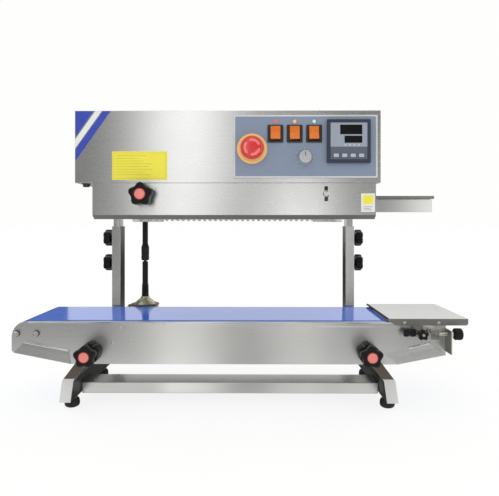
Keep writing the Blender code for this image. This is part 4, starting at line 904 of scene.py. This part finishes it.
for row, sign in ROWS:
    middle = SEAL_Y + sign * 28.4
    for end, x in (("outfeed", OUTFEED_X), ("infeed", INFEED_X)):
        node = f"{row}_{end}_wheel"
        make_piece(f"{node}_turned", node, ALUMINIUM, add_turned, (x, middle, 337.0), UPWARD, [
            (5.0, 0.0), (22.6, 0.0), (24.2, 0.8), (24.4, 1.6), (24.4, 12.4), (24.0, 13.0), (14.0, 14.0),
            (10.0, 15.0), (10.0, 33.0), (26.4, 36.2), (27.3, 37.0), (27.3, 52.6), (26.6, 53.0),
            (12.0, 53.0), (6.0, 53.6), (6.0, 64.8)], 64, stands_for=node, slot="aluminium")
    make_piece(f"{row}_seal_band_loop", "sealing_head", BAND_BROWN, add_frame, Matrix.Identity(4),
               wheel_loop(OUTFEED_X, INFEED_X, middle, 28.2), wheel_loop(OUTFEED_X, INFEED_X, middle, 27.6),
               374.0, 389.0, 0.1, stands_for=f"{row}_seal_band", slot="band_brown")
    make_piece(f"{row}_guide_belt_toothed", "sealing_head", BELT_WHITE,
               add_guide_belt, middle, row == "front",
               stands_for=f"{row}_guide_belt", slot="guide_belt_white")
    node = f"{row}_press_wheel"
    low, high = machine_box(node)
    make_piece(f"{node}_turned", node, SILICONE, add_turned,
               ((low.x + high.x) / 2, (low.y + high.y) / 2, 372.0), UPWARD, [
                   (4.0, 0.0), (4.0, 2.0), (12.6, 2.0), (14.0, 3.0), (14.0, 17.0), (12.6, 18.0), (4.0, 18.0),
                   (4.0, 29.8)], 48, stands_for=node, slot="silicone")

# The turned-down lips along the upper edges of the guide plates, in a darker steel that is painted shade.
for row, sign in ROWS:
    near = SEAL_Y + sign * 16.9
    make_piece(f"{row}_guide_plate_lip", "sealing_head", EDGE_SHADE_STEEL,
               add_box, (249.0, near - 0.6, 381.0), (387.8, near + 0.6, 386.9), 0.35)

# ------------------------------------------------------------------------------- head face
HEAD_LEFT, HEAD_TOP = -260.0, 523.0
SUNK = -0.05  # prints and plates start this far inside the face that they lie on
DECAL_THICKNESS = 0.12


def front_plate(name, points, thickness, material, body="sealing_head", start=SUNK, soft=0.0):
    """A plate on the head's front face, from X-Z points."""
    make_piece(name, body, material, add_plate, facing_front(0.0, HEAD_FRONT, 0.0), points, start,
               thickness, soft)


def decal_band(name, lower, upper, material):
    """A corner band between two lines; each is its lengths down the left edge and along the top."""
    points = [(HEAD_LEFT, HEAD_TOP - upper[0]), (HEAD_LEFT, HEAD_TOP - lower[0]),
              (HEAD_LEFT + lower[1], HEAD_TOP), (HEAD_LEFT + upper[1], HEAD_TOP)]
    front_plate(name, points, DECAL_THICKNESS, material)


def print_lines(name, body, material, left, lines, back, thickness, height):
    """Short printed lines without words; lines are (Z, length)."""
    bm = bmesh.new()
    for z, length in lines:
        add_box(bm, (left, back - thickness, z), (left + length, back, z + height), 0.0)
    finish_piece(name, bm, body, material)


front_plate("corner_decal_triangle", [(HEAD_LEFT, HEAD_TOP), (HEAD_LEFT, HEAD_TOP - 44.0),
                                      (HEAD_LEFT + 31.0, HEAD_TOP)], DECAL_THICKNESS, DECAL_BLUE)
decal_band("corner_decal_line", (63.0, 45.0), (47.5, 34.0), LABEL_WHITE)
decal_band("corner_decal_band", (84.5, 60.0), (65.5, 46.5), DECAL_BLUE)

front_plate("head_plate_yellow", rectangle(-197.5, -104.5, 407.0, 455.0), 0.35, LABEL_YELLOW, soft=0.1)
bm = bmesh.new()
add_frame(bm, facing_front(-151.0, HEAD_FRONT, 431.0), round_rectangle(88.0, 43.0, 1.5),
          round_rectangle(87.0, 42.0, 1.2), 0.3, 0.42, 0.02)
for i, length in enumerate((52.0, 38.0, 46.0, 60.0, 55.0, 62.0, 48.0, 58.0)):
    z = 447.5 - 4.6 * i
    add_box(bm, (-191.0, HEAD_FRONT - 0.42, z), (-191.0 + length, HEAD_FRONT - 0.3, z + 0.7), 0.0)
finish_piece("head_plate_lines", bm, "sealing_head", PRINT_OLIVE)

front_plate("cover_label", rectangle(221.0, 244.0, 353.0, 384.0), 0.2, LABEL_WHITE, "safety_cover")
front_plate("cover_label_patch", rectangle(224.0, 241.0, 366.0, 381.0), 0.28, LABEL_YELLOW, "safety_cover",
            0.15)
print_lines("cover_label_lines", "safety_cover", PRINT_DARK, 225.0,
            ((361.5, 15.0), (358.8, 12.0), (356.1, 14.0)), HEAD_FRONT - 0.15, 0.13, 0.6)

# ------------------------------------------------------------------------------- control panel
ROCKER_X = {"power": 77.1, "fan": 109.3, "heater": 141.8}
ROCKER_Z, LAMP_Z = 483.9, 504.2

make_piece("control_panel_border", "sealing_head", BORDER_SILVER,
           add_frame, facing_front(127.5, PANEL_FACE, 462.75), round_rectangle(240.6, 105.1, 1.0),
           round_rectangle(235.4, 99.9, 0.8), SUNK, 0.5, 0.15)
for name, x in ROCKER_X.items():
    low, high = machine_box(f"{name}_rocker")
    make_piece(f"{name}_rocker_bezel", "sealing_head", BEZEL_BLACK,
               add_frame, facing_front(x, PANEL_FACE, ROCKER_Z), round_rectangle(26.4, 29.6, 2.0),
               round_rectangle(high.x - low.x + 1.0, 23.0, 0.8), SUNK, 2.4, 0.7)
for (name, material), x in zip((("red", LAMP_RED), ("amber", LAMP_AMBER), ("green", LAMP_GREEN)),
                               ROCKER_X.values()):
    base = (x, PANEL_FACE, LAMP_Z)
    make_piece(f"{name}_lamp", "sealing_head", material, add_turned, base, FRONTWARD, [
        (3.0, -0.1), (3.0, 0.8), (2.7, 1.6), (2.0, 2.3), (1.0, 2.7), (0.4, 2.8)], 32)
    make_piece(f"{name}_lamp_rim", "sealing_head", SILVER, add_turned_ring, base, FRONTWARD, [
        (4.0, -0.1), (4.0, 0.5), (3.8, 0.8), (3.2, 0.8), (3.1, 0.5), (3.1, -0.1)], 32)

# ------------------------------------------------------------------------------- emergency stop
low, high = machine_box("estop_collar")
ESTOP_X, ESTOP_Z = (low.x + high.x) / 2, (low.z + high.z) / 2
BUTTON_BASE = (ESTOP_X, PANEL_FACE + 12.0, ESTOP_Z)
BUTTON_SIDE = [(8.0, 0.0), (8.0, 19.6), (9.4, 20.3), (12.6, 21.2), (16.6, 23.0), (18.7, 25.0), (19.4, 27.0)]
BUTTON_TOP = [(19.4, 29.0), (18.9, 30.8), (17.4, 32.2), (14.6, 33.2), (11.0, 33.7), (6.0, 33.93), (2.0, 34.0)]
ARROW_STEPS, ARROW_SWEEP, ARROW_LIFT = 14, 95.0, 0.10
ARROW_MIDDLE, ARROW_HALF_WIDTH = 12.0, 2.0
HEAD_SHARE, HEAD_WIDENING = 0.28, 1.9
collar_rim = (high.x - low.x) / 2
make_piece("estop_collar_ring", "sealing_head", ESTOP_YELLOW,
           add_turned_ring, (ESTOP_X, PANEL_FACE - 0.3, ESTOP_Z), FRONTWARD, [
               (collar_rim, 0.0), (collar_rim, 1.6), (collar_rim - 0.4, 2.5), (collar_rim - 1.4, 3.1),
               (collar_rim - 3.0, 3.4), (12.0, 3.4), (10.6, 3.0), (8.9, 3.0), (8.9, 0.0)], 96,
           stands_for="estop_collar", slot="estop_yellow")
make_piece("estop_button_mushroom", "estop_button", ESTOP_RED, add_turned, BUTTON_BASE, FRONTWARD,
           BUTTON_SIDE + BUTTON_TOP, 96, stands_for="estop_button", slot="estop_red")


def button_height(radius):
    """Height of the mushroom's top at a radius."""
    upper = BUTTON_TOP[::-1]
    for (r0, h0), (r1, h1) in zip(upper, upper[1:]):
        if r0 <= radius <= r1:
            return h0 + (h1 - h0) * (radius - r0) / (r1 - r0)
    return upper[0][1]


def add_arc_arrow(bm, placing, start):
    """A curved arrow that lies on the mushroom's top, from an angle in degrees."""
    rows = []
    for i in range(ARROW_STEPS + 1):
        share = i / ARROW_STEPS
        angle = math.radians(start + ARROW_SWEEP * share)
        half = ARROW_HALF_WIDTH
        if share > 1.0 - HEAD_SHARE:
            half *= HEAD_WIDENING * (1.0 - share) / HEAD_SHARE
        row = []
        for radius in (ARROW_MIDDLE - half, ARROW_MIDDLE + half):
            for lift in (-ARROW_LIFT, ARROW_LIFT):
                corner = (*polar(radius, angle), button_height(radius) + lift)
                row.append(bm.verts.new(placing @ Vector(corner)))
        rows.append(row)
    for a, b in zip(rows, rows[1:]):
        for i, j in ((0, 1), (1, 3), (3, 2), (2, 0)):
            bm.faces.new((a[i], a[j], b[j], b[i]))
    for row in (rows[0], rows[-1]):
        bm.faces.new((row[0], row[1], row[3], row[2]))


bm = bmesh.new()
for start in (20.0, 140.0, 260.0):
    add_arc_arrow(bm, axis_frame(BUTTON_BASE, FRONTWARD), start)
bmesh.ops.remove_doubles(bm, verts=bm.verts, dist=0.0005)
finish_piece("estop_button_arrows", bm, "estop_button", ESTOP_ARROW)

# ------------------------------------------------------------------------------- speed knob
SPEED_X, SPEED_Z = 126.1, 444.4
MARKS, MARK_STEP, MARK_HALF_WIDTH = 11, 30.0, 0.35


def speed_circle(radius):
    return circle_points(radius, 200)


skirt = lobed(11.2, 40, 0.35, 200)
make_piece("speed_knob_body", "speed_knob", SILVER,
           add_layers, axis_frame((SPEED_X, PANEL_FACE - 0.4, SPEED_Z), FRONTWARD), [
               (speed_circle(3.0), -9.0), (speed_circle(3.0), 0.0), (speed_circle(11.6), 0.0),
               (speed_circle(12.0), 0.5), (speed_circle(12.0), 2.0), (speed_circle(11.5), 2.6),
               (skirt(0.0), 3.2), (skirt(0.3), 13.0), (speed_circle(10.2), 14.2), (speed_circle(9.4), 14.8),
               (speed_circle(8.6), 14.8), (speed_circle(8.3), 14.4), (speed_circle(2.0), 14.4)],
           stands_for="speed_knob", slot="nickel")
pointer = round_rectangle(1.2, 7.0, 0.5)(0.0)
make_piece("speed_knob_pointer", "speed_knob", PRINT_DARK,
           add_layers, facing_front(SPEED_X, PANEL_FACE - 14.9, SPEED_Z + 4.6),
           [(pointer, -0.6), (pointer, 0.1)])
bm = bmesh.new()
for i in range(MARKS):
    angle = math.radians(240.0 - MARK_STEP * i)
    along = Vector(polar(1.0, angle))
    across = Vector((-along.y, along.x)) * MARK_HALF_WIDTH
    points = [along * 14.4 + across, along * 14.4 - across, along * 17.0 - across, along * 17.0 + across]
    add_plate(bm, facing_front(SPEED_X, PANEL_FACE, SPEED_Z), [tuple(p) for p in points], SUNK, 0.08)
finish_piece("speed_scale_marks", bm, "sealing_head", PRINT_PALE)

# ------------------------------------------------------------------------------- controller
low, high = machine_box("temperature_controller")
CONTROL_X, CONTROL_Z = (low.x + high.x) / 2, (low.z + high.z) / 2
FACE_FLOOR, FACE_HALF, FACE_LIFT = low.y + 1.2, 30.6, 0.35
low, high = machine_box("controller_key_1")
KEY_Z = (low.z + high.z) / 2
KEY_OFFSETS = (-21.0, -7.0, 7.0, 21.0)
DIVIDE_Z = CONTROL_Z - 10.0


def add_face_box(bm, left, right, bottom, top, lift=FACE_LIFT, soft=0.0):
    """A thin box on the controller's recessed face, with its X from the controller's middle."""
    add_box(bm, (CONTROL_X + left, FACE_FLOOR - lift, bottom), (CONTROL_X + right, FACE_FLOOR - SUNK, top),
            soft, 1)


make_piece("controller_upper_face", "sealing_head", CONTROLLER_FACE, add_face_box,
           -FACE_HALF, FACE_HALF, DIVIDE_Z + 0.3, CONTROL_Z + FACE_HALF, FACE_LIFT, 0.12)
make_piece("controller_upper_display", "sealing_head", DISPLAY_GLASS, add_face_box,
           -14.6, 22.0, CONTROL_Z + 11.0, CONTROL_Z + 27.0, 0.6, 0.12)
make_piece("controller_lower_display", "sealing_head", DISPLAY_GLASS, add_face_box,
           -7.4, 22.0, CONTROL_Z - 3.2, CONTROL_Z + 8.6, 0.6, 0.12)
bm = bmesh.new()
add_face_box(bm, -FACE_HALF, FACE_HALF, KEY_Z + 3.7, DIVIDE_Z)
add_face_box(bm, -FACE_HALF, FACE_HALF, CONTROL_Z - FACE_HALF, KEY_Z - 3.7)
edges = [-FACE_HALF] + [offset + side * 5.1 for offset in KEY_OFFSETS for side in (-1, 1)] + [FACE_HALF]
for left, right in zip(edges[0::2], edges[1::2]):
    add_face_box(bm, left, right, KEY_Z - 3.8, KEY_Z + 3.8)
finish_piece("controller_lower_face", bm, "sealing_head", CONTROLLER_LOWER)
bm = bmesh.new()
for offset in (-6.0, 1.5, 9.0, 16.5):
    add_turned(bm, (CONTROL_X + offset, FACE_FLOOR - 0.3, CONTROL_Z - 6.6), FRONTWARD, [
        (1.0, -0.1), (1.0, 0.3), (0.6, 0.55)], 20)
finish_piece("controller_indicator_dots", bm, "sealing_head", PRINT_WHITE)
for i in range(len(KEY_OFFSETS)):
    node = f"controller_key_{i + 1}"
    make_piece(f"{node}_cap", node, KEY_GREY, add_box, *machine_box(node), 0.7, 3,
               stands_for=node, slot="key_grey")

# ------------------------------------------------------------------------------- rockers
for name in ROCKER_X:
    soften(f"{name}_rocker", ROCKER_ORANGE, 0.6, segments=3)

# ------------------------------------------------------------------------------- rear
PIN_X, PIN_Z = -218.0, 426.0
make_piece("mains_socket_floor", "sealing_head", BEZEL_BLACK,
           add_box, (-228.8, 227.3, 419.2), (-207.2, 228.0, 432.8), 0.0)
bm = bmesh.new()
for dx, dz in ((-6.0, -1.5), (6.0, -1.5), (0.0, 2.0)):
    add_box(bm, (PIN_X + dx - 1.0, 229.5, PIN_Z + dz - 2.0), (PIN_X + dx + 1.0, 236.0, PIN_Z + dz + 2.0))
finish_piece("mains_socket_pins", bm, "sealing_head", NICKEL)
make_piece("rating_plate", "sealing_head", BORDER_SILVER,
           add_box, (-170.0, 236.3, 420.0), (-100.0, 237.0, 460.0), 0.25)
print_lines("rating_plate_lines", "sealing_head", PRINT_DARK, -164.0,
            [(452.0 - 6.0 * i, length) for i, length in enumerate((58.0, 40.0, 52.0, 46.0, 30.0))],
            237.08, 0.13, 0.7)


# ------------------------------------------------------------------------------- stage
def card_material(name, one_sided):
    """Light from the card's own brightness, clear from its back if it is one-sided."""
    material, tree = new_material(name)
    tree.nodes.remove(tree.nodes["Principled BSDF"])
    colour = add_node(tree, "VertexColor", {}, "Color", layer_name="light")
    surface = add_node(tree, "Emission", {"Color": colour})
    if one_sided:
        back = add_node(tree, "NewGeometry", {}, "Backfacing")
        clear = add_node(tree, "BsdfTransparent", {})
        surface = add_node(tree, "MixShader", {"Fac": back, 1: surface, 2: clear})
    feed(tree, tree.nodes["Material Output"].inputs, {"Surface": surface})
    return material


def card(name, corners, light, faces=((0, 1, 2, 3),), one_sided=False):
    """A studio card with a brightness at each corner, which only shows in reflections."""
    mesh = bpy.data.meshes.new(name)
    mesh.from_pydata(corners, [], faces)
    shade_layer = mesh.color_attributes.new("light", "FLOAT_COLOR", "POINT")
    for point, value in zip(shade_layer.data, light):
        point.color = (value, value, value, 1.0)
    mesh.materials.append(card_material(name, one_sided))
    piece = bpy.data.objects.new(name, mesh)
    scene.collection.objects.link(piece)
    piece.visible_camera = False
    piece.visible_diffuse = False
    piece.visible_shadow = False
    piece.visible_transmission = False


def upright_card(name, left, right, bottom, top, light):
    """An even card behind the machine, in metres."""
    card(name, [(left, REAR_Y, bottom), (right, REAR_Y, bottom), (right, REAR_Y, top), (left, REAR_Y, top)],
         [light] * 4)


def area_light(name, location, target, size_x, size_y, radiance):
    light = bpy.data.lights.new(name, "AREA")
    light.shape = "RECTANGLE"
    light.size = size_x
    light.size_y = size_y
    light.energy = radiance * math.pi * size_x * size_y
    piece = bpy.data.objects.new(name, light)
    piece.location = location
    piece.rotation_euler = (Vector(target) - Vector(location)).to_track_quat("-Z", "Y").to_euler()
    piece.visible_camera = False
    scene.collection.objects.link(piece)
    return piece


floor_mesh = bpy.data.meshes.new("floor")
floor_mesh.from_pydata([(-30, -30, 0), (30, -30, 0), (30, 30, 0), (-30, 30, 0)], [], [(0, 1, 2, 3)])
floor = bpy.data.objects.new("floor", floor_mesh)
floor_mesh.materials.append(pale_floor())
scene.collection.objects.link(floor)

world = bpy.data.worlds.new("pale_studio")
world.use_nodes = True
background = world.node_tree.nodes["Background"]
background.inputs["Color"].default_value = (0.99, 1.0, 0.985, 1.0)
background.inputs["Strength"].default_value = 1.0
scene.world = world

softbox = area_light("front_softbox", (-0.34, -2.1, 1.5), (-0.05, 0.0, 0.25), 1.2, 1.0, 1.2)
softbox.visible_glossy = False

# What the steel mirrors: a wall of light in front and the floor between it and the machine.
# Each stop is an X on the front panel's plane and the light seen there in the low wall, the
# high wall, the floor and the floor close by.  The stops fan out from the camera's mirror image.
CAMERA_AT = Vector((0.026, -0.9915, 0.3327))
WALL_Y, REAR_Y = -2.0, 1.0
HEAD_PLANE, CONVEYOR_PLANE = -0.133, -0.071
JUST_ABOVE_FLOOR = 0.0015
LOW_WALL, HIGH_WALL, FLOOR, NEAR_FLOOR = 1, 2, 3, 4
LIGHT_STOPS = (
    (-0.60, 0.16, 0.16, 0.36, 1.10), (-0.30, 0.16, 0.16, 0.38, 1.10), (-0.27, 0.18, 0.16, 0.32, 0.90),
    (-0.20, 0.20, 0.20, 0.34, 0.90), (-0.165, 0.75, 0.70, 0.58, 0.84), (-0.13, 1.65, 1.75, 0.94, 1.35),
    (-0.06, 1.55, 1.80, 0.74, 1.10), (-0.03, 0.70, 1.35, 0.44, 0.76), (0.00, 0.36, 0.40, 0.33, 0.54),
    (0.04, 0.55, 0.30, 0.37, 0.56), (0.075, 2.10, 0.22, 0.60, 0.86), (0.14, 2.20, 0.18, 0.68, 0.96),
    (0.165, 0.40, 0.16, 0.40, 0.80), (0.21, 0.25, 0.14, 0.28, 0.90), (0.26, 0.45, 0.14, 0.56, 0.95),
    (0.285, 0.30, 0.14, 0.30, 1.10), (0.33, 1.30, 0.50, 0.12, 1.10), (0.60, 1.90, 1.40, 0.12, 1.10))


def light_fan(name, plane, rows):
    """A reflected card over the light stops; rows are (reach, height, stop column).

    reach is the distance beyond the front plane as a share of the camera's distance from it.
    """
    distance = plane - CAMERA_AT.y
    corners = []
    light = []
    for reach, height, column in rows:
        for stop in LIGHT_STOPS:
            corners.append((stop[0] + reach * (stop[0] - CAMERA_AT.x), plane - reach * distance, height))
            light.append(stop[column])
    width = len(LIGHT_STOPS)
    faces = [(row * width + i, row * width + i + 1, (row + 1) * width + i + 1, (row + 1) * width + i)
             for row in range(len(rows) - 1) for i in range(width - 1)]
    card(name, corners, light, faces)


wall_reach = (HEAD_PLANE - WALL_Y) / (HEAD_PLANE - CAMERA_AT.y)
light_fan("wall_lights", HEAD_PLANE, [
    (wall_reach, 0.0, LOW_WALL), (wall_reach, 0.57, LOW_WALL), (wall_reach, 0.66, HIGH_WALL),
    (wall_reach, 2.2, HIGH_WALL)])
light_fan("floor_lights", CONVEYOR_PLANE, [
    (0.02, JUST_ABOVE_FLOOR, NEAR_FLOOR), (0.25, JUST_ABOVE_FLOOR, NEAR_FLOOR),
    (0.40, JUST_ABOVE_FLOOR, FLOOR), (2.0, JUST_ABOVE_FLOOR, FLOOR)])
upright_card("belt_flag", -3.0, -0.706, 0.26, 0.6, 0.15)
upright_card("rear_flag", -1.0, 1.0, 0.0, 0.26, 0.02)
card("belt_cover", [(-0.37, -0.068, 0.1584), (0.34, -0.068, 0.1584), (0.34, 0.089, 0.1584),
                    (-0.37, 0.089, 0.1584)], [0.30] * 4, one_sided=True)
card("belt_underside", [(-0.34, -0.066, 0.1115), (-0.34, 0.088, 0.1115), (0.33, 0.088, 0.1115),
                        (0.33, -0.066, 0.1115)], [0.24] * 4, one_sided=True)
card("underside_flag", [(-0.5, -0.06, JUST_ABOVE_FLOOR), (0.5, -0.06, JUST_ABOVE_FLOOR),
                        (0.5, 0.3, JUST_ABOVE_FLOOR), (-0.5, 0.3, JUST_ABOVE_FLOOR)], [0.18] * 4)

# ------------------------------------------------------------------------------- camera
camera_data = bpy.data.cameras.new("camera")
camera_data.lens = 36.87
camera_data.sensor_width = 36.0
camera_data.shift_y = -0.048
camera = bpy.data.objects.new("camera", camera_data)
camera.location = CAMERA_AT
camera.rotation_euler = (math.radians(90.0), 0.0, math.radians(0.42))
scene.collection.objects.link(camera)
scene.camera = camera
scene.view_settings.view_transform = "Standard"
